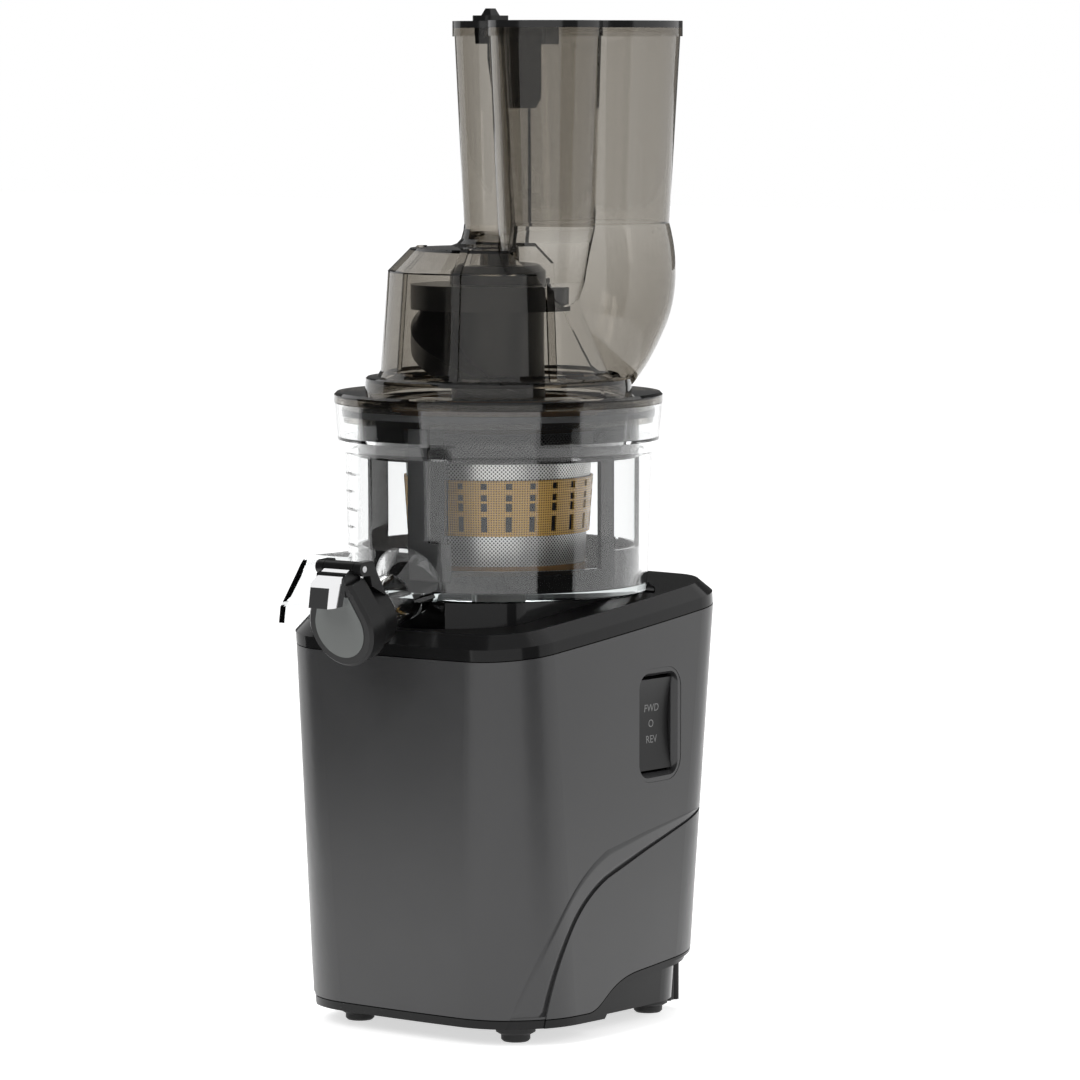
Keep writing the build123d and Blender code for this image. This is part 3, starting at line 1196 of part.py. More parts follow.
def gate_hinge():
    """Two black blocks in the side lobe that hold the gate's pin; the front one has a finger nub."""
    room = chute_room()
    low, x0, x1 = GATE_Z - 5, GATE_X - 5, GATE_X + 4
    front = block(x0, x1, GATE_Y0 - 12, GATE_Y0 - GAP, low, RIM_Z - EPS) & room
    rear = block(x0, x1, GATE_Y1 + GAP, GATE_Y1 + 12, low, RIM_Z - 2) & room
    cover = block(GATE_X - 5.5, GATE_X + 5.5, GATE_TAB_Y0, GATE_TAB_Y1, RIM_Z, RIM_Z + 2.6)
    cover = fillet(cover.edges().filter_by(Axis.Z), 2.5)
    base = Pos(GATE_X, (GATE_TAB_Y0 + GATE_TAB_Y1) / 2, RIM_Z + 2.5) * Rectangle(6, 7)
    tip = Pos(GATE_X, (GATE_TAB_Y0 + GATE_TAB_Y1) / 2, RIM_Z + 6) * Rectangle(3, 4)
    front = front + block(x0 + 1, x1 - 1, GATE_NECK_Y0 - 3, GATE_Y0 - GAP, RIM_Z - 3, RIM_Z + 1)
    front = front + cover + loft([base, tip], ruled=True)
    pin = Pos(GATE_X, (GATE_Y0 + GATE_Y1) / 2, GATE_Z) * Rot(90, 0, 0) * Cylinder(GATE_PIN_R, 80)
    return [b - pin for b in (front, rear)]


def gate_pin():
    """Steel pin of the gate."""
    length = GATE_Y1 - GATE_Y0 + 2 * GATE_PIN_END
    return Pos(GATE_X, (GATE_Y0 + GATE_Y1) / 2, GATE_Z) * Rot(90, 0, 0) * Cylinder(GATE_PIN_R, length)


def gate_flap():
    """Dark flap that hangs in the large chute, with one lower corner cut back to clear the neck."""
    width = GATE_Y1 - GATE_Y0
    middle = (GATE_Y0 + GATE_Y1) / 2
    barrel = Pos(GATE_X, middle, GATE_Z) * Rot(90, 0, 0) * Cylinder(GATE_PIN_R + 2, width)
    foot_z = GATE_Z - GATE_DROP
    leaf_face = make_face(Polyline((GATE_Y0, GATE_Z), (GATE_Y0, foot_z + 24), (GATE_Y0 + 5.5, foot_z),
                                   (GATE_Y1 - 5, foot_z), (GATE_Y1, foot_z + 5), (GATE_Y1, GATE_Z), close=True))
    leaf = Pos(GATE_X - GATE_T / 2, 0, 0) * extrude(Plane.YZ * leaf_face, GATE_T)
    bore = Pos(GATE_X, middle, GATE_Z) * Rot(90, 0, 0) * Cylinder(GATE_PIN_R + RUNNING, 80)
    return (barrel + leaf) - bore


# ---- write every node -------------------------------------------------------
def single_pieces():
    """Nodes made of one solid each, by name."""
    corners = {"foot_front_left": (-FOOT_X, FOOT_FRONT_Y), "foot_front_right": (FOOT_X, FOOT_FRONT_Y),
               "foot_rear_left": (-FOOT_X, FOOT_REAR_Y), "foot_rear_right": (FOOT_X, FOOT_REAR_Y)}
    pieces = {name: foot(*place) for name, place in corners.items()}
    lid_z = CASE_Z + CASE_H - LID_H
    pieces.update({
        "housing": housing(), "bottom_cover": bottom_cover(), "top_cover": top_cover(),
        "cord_gland": cord_gland(), "switch_bezel": switch_bezel(), "switch_body": switch_body(),
        "rocker_button": rocker_button(), "bowl_seat": bowl_seat(), "shaft_seal": shaft_seal(),
        "motor_can": motor_can(), "motor_stator": motor_stator(), "motor_rotor": motor_rotor(),
        "motor_pinion": motor_pinion(), "motor_fan": motor_fan(), "motor_bracket": motor_bracket(),
        "gearbox_case": gearbox_case(), "gearbox_lid": gearbox_lid(),
        "gear_cluster_first": first_cluster(), "gear_cluster_second": second_cluster(),
        "output_gear": output_gear(), "drive_shaft": drive_shaft(),
        "lower_bearing": bearing(lid_z), "upper_bearing": bearing(SEAT_TOP - SEAL_H - BEARING_H - 1),
        "control_board": control_board(),
        "juicing_bowl": juicing_bowl(), "bowl_bush": bowl_bush(),
        "idler_pin": idler_pin(), "pulp_stopper": pulp_stopper(), "spout_collar": spout_collar(),
        "cap_hinge_pin": cap_hinge_pin(), "cap_lever": cap_lever(), "cap_face": cap_face(),
        "cap_handle": cap_handle(), "cap_plug": cap_plug(),
        "strainer_mesh": strainer_mesh(), "strainer_band": strainer_band(),
        "wiper_frame": wiper_frame(), "idler_gear": idler(), "auger": auger(),
        "hopper": hopper(), "chute_rim": chute_rim(), "hopper_seal": hopper_seal(), "gate_pin": gate_pin(),
        "gate_flap": gate_flap(),
    })
    return pieces


def grouped_pieces():
    """Nodes that hold several like solids."""
    base, top = strainer_frame()
    return {"gear_axles": gear_axles().solids(), "wiper_blades": wiper_blades(),
            "strainer_base": [base], "strainer_top_ring": [top], "gate_hinge": gate_hinge()}


os.makedirs("parts", exist_ok=True)
for node_name, shape in single_pieces().items():
    write(node_name, shape)
for node_name, solids in grouped_pieces().items():
    write(node_name, Compound(children=[s for s in solids]))
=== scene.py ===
"""Cold press juicer: materials, printed marks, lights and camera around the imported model."""

import math

import bpy
from mathutils import Matrix, Vector


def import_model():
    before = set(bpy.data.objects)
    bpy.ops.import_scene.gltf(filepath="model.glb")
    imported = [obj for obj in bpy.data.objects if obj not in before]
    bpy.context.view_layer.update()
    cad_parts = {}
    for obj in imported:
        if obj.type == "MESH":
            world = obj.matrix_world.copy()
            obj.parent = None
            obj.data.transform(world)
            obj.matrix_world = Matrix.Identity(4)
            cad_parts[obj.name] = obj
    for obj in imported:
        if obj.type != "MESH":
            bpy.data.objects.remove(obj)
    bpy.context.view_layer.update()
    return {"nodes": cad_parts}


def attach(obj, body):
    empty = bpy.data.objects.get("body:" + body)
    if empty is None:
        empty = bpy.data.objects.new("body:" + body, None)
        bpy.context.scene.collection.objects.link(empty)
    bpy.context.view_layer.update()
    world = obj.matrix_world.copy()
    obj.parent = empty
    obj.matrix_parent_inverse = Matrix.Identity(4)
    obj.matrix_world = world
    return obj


MM = 0.001

# Camera
CAMERA_AZIMUTH = 38.37      # degrees from the front, towards the switch side
CAMERA_PITCH = 4.956        # degrees below level
CAMERA_DISTANCE = 2.680
CAMERA_HEIGHT = 0.4658
CAMERA_SIDE = 0.0201        # shift to the camera's right
FOCAL_MM = 185.0
SENSOR_MM = 36.0

# Light levels, and the gloss cards' place in metres
WORLD_SOFT = 0.55
WORLD_DIM = 0.10
FLOOR_GLOW = 0.62
CARD_LEVEL = 1.0
FLAG_LEVEL = 0.05
ROOF_LEVEL = 0.5
CARD_RADIUS = 0.6
CARD_LOW = -0.2
CARD_HIGH = 1.6
CARD_STEPS = 12
ROOF_REACH = 0.8
ROOF_HEIGHT = 2.0
FLOOR_REACH = 12.0
LIGHT_TARGET = (0.0, 0.0, 0.25)

# Measures shared with the solids, in millimetres
BOWL_FOOT_Z = 209.8
BOWL_FOOT_R = 72.2
BOWL_STEP_R = 74.4
BOWL_STEP_Z = 276.5
BODY_LOW_Z = 9.0
BODY_LOW = (77.0, 76.0, 79.5, 41.0)     # half width, front, rear and corner radius of the body's plan
BODY_HIGH_Z = 200.0
BODY_HIGH = (77.0, 84.0, 94.5, 31.0)
BODY_BOW = 3.0
BAND_LOW_Z = 238.9
BAND_HIGH_Z = 265.6
CREASE_DEPTH = 0.79
CREASE_OUTER = ((-70, -8), (-66, 40), (-46, 76), (-13, 90))
CREASE_OUTER_RUN = ((-13, 90), (18, 96), (58, 102), (72, 101.5))
CREASE_INNER = ((-56, -20), (-55, 38), (-40, 64), (-12, 76.5))
CREASE_INNER_RUN = ((-12, 76.5), (18, 86.5), (58, 98.5), (72, 101.5))
CREASE_FOOT_Z = 14.2
CREASE_STATIONS = 64
CREASE_ROWS = 4
CREASE_CLOSE = 0.04         # left between the facet's foot and the step's floor
CREASE_SAMPLES = 240
HOLE_PITCH = 1.9            # perforated steel
HOLE_RING_R = 44.0
GRID_COLUMNS = 230          # amber net
GRID_RISE = 1.15
TOP_DOT_PITCH = 1.5
UPWARD = 0.97               # least upward part of a normal on the textured face
GRADUATIONS = 5
GRADUATION_TOP_Z = 267.0
GRADUATION_PITCH = 8.6
GRADUATION_START = -133.63  # degrees around the drive axis
GRADUATION_SHORT = 9.0
GRADUATION_LONG = 15.0
GRADUATION_STEPS = 8
MARK_SIZE = 5.2
MARK_PITCH = 7.6
ROCKER_FACE_X = 74.0
ROCKER_DISH = 2.4
ROCKER_HALF_H = 22.0
SWITCH_Y = 28.0
SWITCH_Z = 146.5


# ---- node helpers -----------------------------------------------------------
def new_material(name):
    """Material with its node tree emptied to an output and a Principled shader."""
    material = bpy.data.materials.new(name)
    material.use_nodes = True
    nodes = material.node_tree.nodes
    nodes.clear()
    output = nodes.new("ShaderNodeOutputMaterial")
    shader = nodes.new("ShaderNodeBsdfPrincipled")
    material.node_tree.links.new(shader.outputs["BSDF"], output.inputs["Surface"])
    return material, nodes, material.node_tree.links, shader, output


def math_node(nodes, links, operation, first, second=None):
    """Math node; each input is a socket or a number."""
    node = nodes.new("ShaderNodeMath")
    node.operation = operation
    for socket, value in zip(node.inputs, (first, second)):
        if value is None:
            continue
        if isinstance(value, bpy.types.NodeSocket):
            links.new(value, socket)
        else:
            socket.default_value = value
    return node.outputs[0]


def object_position(nodes, links):
    """X, Y and Z of the point in the part's own frame, in metres."""
    coordinates = nodes.new("ShaderNodeTexCoord")
    split = nodes.new("ShaderNodeSeparateXYZ")
    links.new(coordinates.outputs["Object"], split.inputs[0])
    return coordinates.outputs["Object"], split.outputs


def noise(nodes, links, vector, scale, detail=3.0, roughness=0.5):
    """Noise texture's factor at a scale in cycles per metre."""
    node = nodes.new("ShaderNodeTexNoise")
    node.inputs["Scale"].default_value = scale
    node.inputs["Detail"].default_value = detail
    node.inputs["Roughness"].default_value = roughness
    links.new(vector, node.inputs["Vector"])
    return node.outputs["Fac"]


def ramp(nodes, links, factor, stops):
    """Colour ramp over (position, colour) stops."""
    node = nodes.new("ShaderNodeValToRGB")
    elements = node.color_ramp.elements
    while len(elements) < len(stops):
        elements.new(0.5)
    for element, (position, colour) in zip(elements, stops):
        element.position = position
        element.color = (*colour, 1.0)
    links.new(factor, node.inputs["Fac"])
    return node.outputs["Color"]


def bump(nodes, links, shader, height, strength, distance):
    """Surface relief from a height socket, in metres."""
    node = nodes.new("ShaderNodeBump")
    node.inputs["Strength"].default_value = strength
    node.inputs["Distance"].default_value = distance
    links.new(height, node.inputs["Height"])
    links.new(node.outputs["Normal"], shader.inputs["Normal"])


def shade(colour, factor):
    """Colour made lighter or darker."""
    return tuple(min(1.0, c * factor) for c in colour)


# ---- materials --------------------------------------------------------------
def moulded(name, colour, roughness, grain=2600.0, relief=0.00003, spread=0.08, metallic=0.0,
            gloss=0.5):
    """Moulded or cast surface: fine grain, faint colour drift and uneven roughness."""
    material, nodes, links, shader, _ = new_material(name)
    vector, _ = object_position(nodes, links)
    drift = noise(nodes, links, vector, 9.0)
    tint = ramp(nodes, links, drift, [(0.3, shade(colour, 1 - spread)), (0.7, shade(colour, 1 + spread))])
    links.new(tint, shader.inputs["Base Color"])
    grain_fac = noise(nodes, links, vector, grain, 2.0)
    rough = nodes.new("ShaderNodeMapRange")
    rough.inputs["To Min"].default_value = max(0.02, roughness - 0.04)
    rough.inputs["To Max"].default_value = roughness + 0.04
    links.new(noise(nodes, links, vector, 60.0), rough.inputs["Value"])
    links.new(rough.outputs["Result"], shader.inputs["Roughness"])
    bump(nodes, links, shader, grain_fac, 0.6, relief)
    shader.inputs["Metallic"].default_value = metallic
    shader.inputs["Specular IOR Level"].default_value = gloss
    return material


def turned_metal(name, colour, roughness):
    """Metal with fine rings around the drive axis."""
    material, nodes, links, shader, _ = new_material(name)
    vector, _ = object_position(nodes, links)
    stretch = nodes.new("ShaderNodeMapping")
    stretch.inputs["Scale"].default_value = (40.0, 40.0, 2500.0)
    links.new(vector, stretch.inputs["Vector"])
    streaks = noise(nodes, links, stretch.outputs["Vector"], 1.0, 2.0)
    tint = ramp(nodes, links, streaks, [(0.35, shade(colour, 0.85)), (0.65, shade(colour, 1.1))])
    links.new(tint, shader.inputs["Base Color"])
    shader.inputs["Metallic"].default_value = 1.0
    shader.inputs["Roughness"].default_value = roughness
    bump(nodes, links, shader, streaks, 0.3, 0.00002)
    return material


def clear_plastic(name, colour, absorb, density, roughness=0.02, ior=1.45):
    """Transparent moulded plastic with faint moulding waves; thick parts look darker."""
    material, nodes, links, shader, output = new_material(name)
    vector, _ = object_position(nodes, links)
    shader.inputs["Base Color"].default_value = (*colour, 1.0)
    shader.inputs["Roughness"].default_value = roughness
    shader.inputs["IOR"].default_value = ior
    shader.inputs["Transmission Weight"].default_value = 1.0
    waves = noise(nodes, links, vector, 22.0, 1.0)
    bump(nodes, links, shader, waves, 0.25, 0.0004)
    if density:
        volume = nodes.new("ShaderNodeVolumeAbsorption")
        volume.inputs["Color"].default_value = (*absorb, 1.0)
        volume.inputs["Density"].default_value = density
        links.new(volume.outputs["Volume"], output.inputs["Volume"])
    return material


def lattice_distance(nodes, links, across, along, offset):
    """Distance from the nearest point of a square lattice with unit spacing."""
    parts = []
    for socket in (across, along):
        moved = math_node(nodes, links, "ADD", socket, offset)
        centred = math_node(nodes, links, "SUBTRACT", math_node(nodes, links, "FRACT", moved), 0.5)
        parts.append(math_node(nodes, links, "MULTIPLY", centred, centred))
    return math_node(nodes, links, "SQRT", math_node(nodes, links, "ADD", *parts))


def perforated_steel(name):
    """Bright steel sheet with staggered rows of small holes around the drive axis, with painted shade: near
    black between BAND_LOW_Z and BAND_HIGH_Z.
    """
    pitch = HOLE_PITCH * MM
    material, nodes, links, shader, _ = new_material(name)
    _, split = object_position(nodes, links)
    angle = math_node(nodes, links, "ARCTAN2", split["Y"], split["X"])
    columns = round(HOLE_RING_R * MM / pitch * 2 * math.pi)
    around = math_node(nodes, links, "MULTIPLY", angle, columns / (2 * math.pi))
    up = math_node(nodes, links, "DIVIDE", split["Z"], pitch)
    first = lattice_distance(nodes, links, around, up, 0.0)
    second = lattice_distance(nodes, links, around, up, 0.5)
    nearest = math_node(nodes, links, "MINIMUM", first, second)
    colour = ramp(nodes, links, nearest, [(0.20, (0.02, 0.02, 0.02)), (0.26, (0.66, 0.655, 0.64))])
    # Painted shade: between BAND_LOW_Z and BAND_HIGH_Z the steel colour is replaced by near black.
    above = math_node(nodes, links, "GREATER_THAN", split["Z"], BAND_LOW_Z * MM)
    below = math_node(nodes, links, "LESS_THAN", split["Z"], BAND_HIGH_Z * MM)
    painted_shade_band = nodes.new("ShaderNodeMix")
    painted_shade_band.data_type = "RGBA"
    links.new(math_node(nodes, links, "MULTIPLY", above, below), painted_shade_band.inputs["Factor"])
    links.new(colour, painted_shade_band.inputs[6])
    painted_shade_band.inputs[7].default_value = (0.012, 0.012, 0.012, 1.0)
    links.new(painted_shade_band.outputs[2], shader.inputs["Base Color"])
    shader.inputs["Metallic"].default_value = 0.75
    shader.inputs["Roughness"].default_value = 0.38
    bump(nodes, links, shader, nearest, 0.5, 0.0002)
    return material


def amber_grid(name):
    """Amber plastic with a fine net of dots around the drive axis."""
    material, nodes, links, shader, _ = new_material(name)
    _, split = object_position(nodes, links)
    angle = math_node(nodes, links, "ARCTAN2", split["Y"], split["X"])
    across = math_node(nodes, links, "MULTIPLY", angle, GRID_COLUMNS / (2 * math.pi))
    up = math_node(nodes, links, "DIVIDE", split["Z"], GRID_RISE * MM)
    grid = lattice_distance(nodes, links, across, up, 0.0)
    grid = math_node(nodes, links, "SUBTRACT", 0.62, grid)
    colour = ramp(nodes, links, grid, [(0.24, (0.50, 0.29, 0.055)), (0.40, (0.10, 0.06, 0.02))])
    links.new(colour, shader.inputs["Base Color"])
    shader.inputs["Roughness"].default_value = 0.25
    bump(nodes, links, shader, grid, 0.6, 0.0003)
    return material


def textured_top(name, colour):
    """Gloss cover whose upward face carries a fine pattern of dots."""
    material, nodes, links, shader, _ = new_material(name)
    vector, split = object_position(nodes, links)
    geometry = nodes.new("ShaderNodeNewGeometry")
    normal = nodes.new("ShaderNodeSeparateXYZ")
    links.new(geometry.outputs["True Normal"], normal.inputs[0])
    upward = math_node(nodes, links, "GREATER_THAN", normal.outputs["Z"], UPWARD)
    pitch = TOP_DOT_PITCH * MM
    across = math_node(nodes, links, "DIVIDE", split["X"], pitch)
    along = math_node(nodes, links, "DIVIDE", split["Y"], pitch)
    first = lattice_distance(nodes, links, across, along, 0.0)
    second = lattice_distance(nodes, links, across, along, 0.5)
    dots = math_node(nodes, links, "MINIMUM", first, second)
    raised = math_node(nodes, links, "MULTIPLY", dots, upward)
    drift = noise(nodes, links, vector, 9.0)
    tint = ramp(nodes, links, drift, [(0.3, shade(colour, 0.9)), (0.7, shade(colour, 1.1))])
    links.new(tint, shader.inputs["Base Color"])
    rough = nodes.new("ShaderNodeMapRange")
    rough.inputs["To Min"].default_value = 0.12
    rough.inputs["To Max"].default_value = 0.28
    links.new(upward, rough.inputs["Value"])
    links.new(rough.outputs["Result"], shader.inputs["Roughness"])
    shader.inputs["Specular IOR Level"].default_value = 0.22
    bump(nodes, links, shader, raised, 0.7, 0.00035)
    return material


def dress(frame):
    """Gives every carried-over solid its material and returns the housing's."""
    charcoal = moulded("charcoal_satin", (0.031, 0.031, 0.032), 0.30, gloss=0.6)
    gloss_dark = moulded("gloss_dark", (0.008, 0.008, 0.0082), 0.10, relief=0.00001, spread=0.05,
                          gloss=0.22)
    cover = textured_top("gloss_textured", (0.008, 0.008, 0.0082))
    black = moulded("black_satin", (0.007, 0.007, 0.0072), 0.32, gloss=0.3)
    rubber = moulded("foot_rubber", (0.022, 0.022, 0.022), 0.6, grain=1800.0, relief=0.00006)
    silicone = moulded("silicone", (0.03, 0.03, 0.03), 0.45)
    pale_silicone = moulded("silicone_pale", (0.62, 0.62, 0.60), 0.42)
    steel = turned_metal("ground_steel", (0.62, 0.62, 0.63), 0.28)
    sintered = moulded("sintered_steel", (0.34, 0.34, 0.35), 0.42, metallic=1.0)
    cast = moulded("cast_aluminium", (0.60, 0.60, 0.60), 0.5, grain=900.0, relief=0.0001, metallic=1.0)
    chrome = moulded("chrome", (0.86, 0.86, 0.87), 0.05, relief=0.000004, spread=0.01, metallic=1.0)
    acetal = moulded("acetal", (0.72, 0.71, 0.66), 0.35)
    copper = moulded("winding_copper", (0.62, 0.27, 0.10), 0.4, metallic=0.8)
    board = moulded("board_green", (0.02, 0.10, 0.05), 0.4)
    clear = clear_plastic("clear_plastic", (0.985, 0.99, 0.99), (0.88, 0.91, 0.91), 14.0)
    smoke = clear_plastic("smoky_plastic", (0.99, 0.99, 0.985), (0.53, 0.50, 0.45), 480.0)
    dark_smoke = clear_plastic("dark_smoke", (0.62, 0.62, 0.62), (0.25, 0.24, 0.23), 1500.0)
    amber = amber_grid("amber_grid")
    plain_amber = moulded("amber_plain", (0.20, 0.11, 0.04), 0.2)
    mesh = perforated_steel("perforated_steel")
    auger_grey = moulded("auger_grey", (0.016, 0.016, 0.0165), 0.30)
    rim = moulded("rim_gloss", (0.010, 0.010, 0.0102), 0.12, relief=0.00001)
    face = moulded("cap_face_grey", (0.105, 0.112, 0.108), 0.38)
    by_material = {
        charcoal: ["housing", "switch_bezel"],
        gloss_dark: ["bottom_cover", "bowl_seat"],
        cover: ["top_cover"],
        black: ["rocker_button", "spout_collar", "cap_lever", "gate_hinge", "switch_body", "motor_fan",
                "cord_gland"],
        rubber: ["foot_front_left", "foot_front_right", "foot_rear_left", "foot_rear_right"],
        silicone: ["shaft_seal", "cap_plug", "pulp_stopper", "wiper_blades", "hopper_seal"],
        pale_silicone: ["bowl_bush"],
        steel: ["drive_shaft", "lower_bearing", "upper_bearing", "gear_axles", "idler_pin",
                "cap_hinge_pin", "gate_pin", "motor_can"],
        sintered: ["output_gear", "gear_cluster_second", "motor_pinion", "motor_rotor"],
        cast: ["gearbox_case", "gearbox_lid", "motor_bracket"],
        chrome: ["cap_handle"],
        acetal: ["gear_cluster_first", "idler_gear"],
        copper: ["motor_stator"],
        board: ["control_board"],
        clear: ["juicing_bowl"],
        smoke: ["hopper"],
        dark_smoke: ["wiper_frame", "gate_flap"],
        amber: ["strainer_band"],
        plain_amber: ["strainer_base", "strainer_top_ring"],
        rim: ["chute_rim"],
        mesh: ["strainer_mesh"],
        auger_grey: ["auger"],
        face: ["cap_face"],
    }
    for material, names in by_material.items():
        for name in names:
            node = frame["nodes"][name]
            node.data.materials.clear()
            node.data.materials.append(material)
    return charcoal


# ---- pieces -----------------------------------------------------------------
def add_mesh(name, verts, faces, material, body):
    """Mesh piece from points in millimetres, riding on a body."""
    mesh = bpy.data.meshes.new(name)
    mesh.from_pydata([Vector(v) * MM for v in verts], [], faces)
    mesh.materials.append(material)
    piece = bpy.data.objects.new(name, mesh)
    bpy.context.scene.collection.objects.link(piece)
    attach(piece, body)
    return piece


def cubic(points, t):
    """Point of a cubic Bezier curve."""
    a, b, c, d = (Vector(p) for p in points)
    u = 1 - t
    return a * u ** 3 + b * 3 * u * u * t + c * 3 * u * t * t + d * t ** 3


def crease_points(curve, run, steps):
    """Crease line on the side view: its curve from the bottom joint up, then its straight run."""
    points = [cubic(curve, i / steps) for i in range(steps + 1)]
    points = [p for p in points if p.y > CREASE_FOOT_Z]
    for start, end in zip(run, run[1:]):
        points += [Vector(start).lerp(Vector(end), i / 8) for i in range(1, 9)]
    return points


def resample(points, count):
    """The same line with evenly spread points."""
    lengths = [0.0]
    for a, b in zip(points, points[1:]):
        lengths.append(lengths[-1] + (b - a).length)
    result, k = [], 0
    for i in range(count + 1):
        want = lengths[-1] * i / count
        while k < len(points) - 2 and lengths[k + 1] < want:
            k += 1
        share = (want - lengths[k]) / max(1e-9, lengths[k + 1] - lengths[k])
        result.append(points[k].lerp(points[k + 1], min(1.0, share)))
    return result


def body_x(y, z, inset):
    """Half width of the bowed, rounded body at a place on its side, drawn in by inset."""
    share = (z - BODY_LOW_Z) / (BODY_HIGH_Z - BODY_LOW_Z)
    pairs = zip(BODY_LOW, BODY_HIGH)
    half, front, rear, corner = (low + (high - low) * share - inset for low, high in pairs)
    length, width = (front + rear) / 2 - BODY_BOW, half - BODY_BOW
    side_r = (length ** 2 + BODY_BOW ** 2) / (2 * BODY_BOW)
    front_r = (width ** 2 + BODY_BOW ** 2) / (2 * BODY_BOW)
    side, ahead = Vector((half - side_r, (rear - front) / 2)), Vector((0.0, front_r - front))
    y = side.y - abs(y - side.y)
    gap = ahead - side
    reach = ((side_r - corner) ** 2 - (front_r - corner) ** 2 + gap.length_squared) / (2 * gap.length)
    lift = math.sqrt((side_r - corner) ** 2 - reach ** 2)
    middle = side + gap.normalized() * reach + Vector((gap.y, -gap.x)).normalized() * lift
    if y > side.y + (middle.y - side.y) * side_r / (side_r - corner):
        return side.x + math.sqrt(side_r ** 2 - (y - side.y) ** 2)
    return middle.x + math.sqrt(corner ** 2 - (y - middle.y) ** 2)


def crease_facets(material):
    """Wedge that turns the swept step into a slanting facet, from the skin down to the step's floor."""
    count, rows = CREASE_STATIONS, CREASE_ROWS
    outer = resample(crease_points(CREASE_OUTER, CREASE_OUTER_RUN, CREASE_SAMPLES), count)
    inner = resample(crease_points(CREASE_INNER, CREASE_INNER_RUN, CREASE_SAMPLES), count)
    for side, name in ((1, "right"), (-1, "left")):
        verts, faces, ring = [], [], 2 * (rows + 1)
        for a, b in zip(outer, inner):
            places = [a.lerp(b, row / rows) for row in range(rows + 1)]
            depths = [(CREASE_DEPTH - CREASE_CLOSE) * row / rows for row in range(rows + 1)]
            loop = list(zip(places, depths)) + [(place, CREASE_DEPTH) for place in reversed(places)]
            verts += [(side * body_x(q.x, q.y, depth), q.x, q.y) for q, depth in loop]
        for i in range(count):
            for j in range(ring):
                k, after = i * ring + j, i * ring + (j + 1) % ring
                faces.append((k, after, after + ring, k + ring))
        faces += [tuple(reversed(range(ring))), tuple(range(count * ring, (count + 1) * ring))]
        if side < 0:
            faces = [face[::-1] for face in faces]
        piece = add_mesh(f"crease_facet_{name}", verts, faces, material, "base")
        for polygon in piece.data.polygons:
            polygon.use_smooth = len(polygon.vertices) == 4 and abs(polygon.normal.x) > 0.5


def graduations(material):
    """Fine raised lines on the left of the bowl."""
    for index in range(GRADUATIONS):
        z = GRADUATION_TOP_Z - GRADUATION_PITCH * index
        radius = BOWL_FOOT_R + (BOWL_STEP_R - BOWL_FOOT_R) * (z - BOWL_FOOT_Z) / (BOWL_STEP_Z - BOWL_FOOT_Z)
        start, steps = math.radians(GRADUATION_START), GRADUATION_STEPS
        sweep = math.radians(GRADUATION_SHORT if index % 2 else GRADUATION_LONG)
        verts, faces = [], []
        for i in range(steps + 1):
            angle = start + sweep * i / steps
            for r in (radius - 0.05, radius + 0.2):
                for height in (z - 0.35, z + 0.35):
                    verts.append((r * math.cos(angle), r * math.sin(angle), height))
        for i in range(steps):
            a = 4 * i
            faces += [(a, a + 1, a + 5, a + 4), (a + 2, a + 6, a + 7, a + 3),
                      (a, a + 4, a + 6, a + 2), (a + 1, a + 3, a + 7, a + 5)]
        faces += [(0, 2, 3, 1), (4 * steps, 4 * steps + 1, 4 * steps + 3, 4 * steps + 2)]
        add_mesh(f"graduation_{index}", verts, faces, material, "bowl")


def switch_text(material):
    """Printed FWD, O and REV on the rocker's hollow face."""
    for text, height in (("FWD", MARK_PITCH), ("O", 0.0), ("REV", -MARK_PITCH)):
        curve = bpy.data.curves.new(f"mark_{text.lower()}", "FONT")
        curve.body = text
        curve.size = MARK_SIZE * MM
        curve.align_x = "CENTER"
        curve.align_y = "CENTER"
        curve.extrude = 0.02 * MM
        curve.materials.append(material)
        piece = bpy.data.objects.new(f"mark_{text.lower()}", curve)
        bpy.context.scene.collection.objects.link(piece)
        depth = ROCKER_DISH * (1 - (height / ROCKER_HALF_H) ** 2)
        lean = math.atan(2 * ROCKER_DISH * height / ROCKER_HALF_H ** 2)
        turn = Matrix.Rotation(lean, 4, "Y") @ Matrix.Rotation(math.radians(90), 4, "Z") \
            @ Matrix.Rotation(math.radians(90), 4, "X")
        place = Vector((ROCKER_FACE_X - depth + 0.04, SWITCH_Y, SWITCH_Z + height)) * MM
        piece.matrix_world = Matrix.Translation(place) @ turn
        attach(piece, "rocker")


# ---- stage ------------------------------------------------------------------
def camera_axes():
    """Unit vectors to the camera's right and from the part back to the camera, level."""
    azimuth = math.radians(CAMERA_AZIMUTH)
    right = Vector((math.cos(azimuth), math.sin(azimuth), 0.0))
    back = Vector((math.sin(azimuth), -math.cos(azimuth), 0.0))
    return right, back


def add_camera():
    """Camera at the photograph's angle."""
    data = bpy.data.cameras.new("camera")
    data.lens = FOCAL_MM
    data.sensor_width = SENSOR_MM
    data.clip_end = 50.0
    camera = bpy.data.objects.new("camera", data)
    right, back = camera_axes()
    camera.location = back * CAMERA_DISTANCE + right * CAMERA_SIDE + Vector((0, 0, CAMERA_HEIGHT))
    camera.rotation_euler = (math.radians(90 - CAMERA_PITCH), 0, math.radians(CAMERA_AZIMUTH))
    bpy.context.scene.collection.objects.link(camera)
    bpy.context.scene.camera = camera


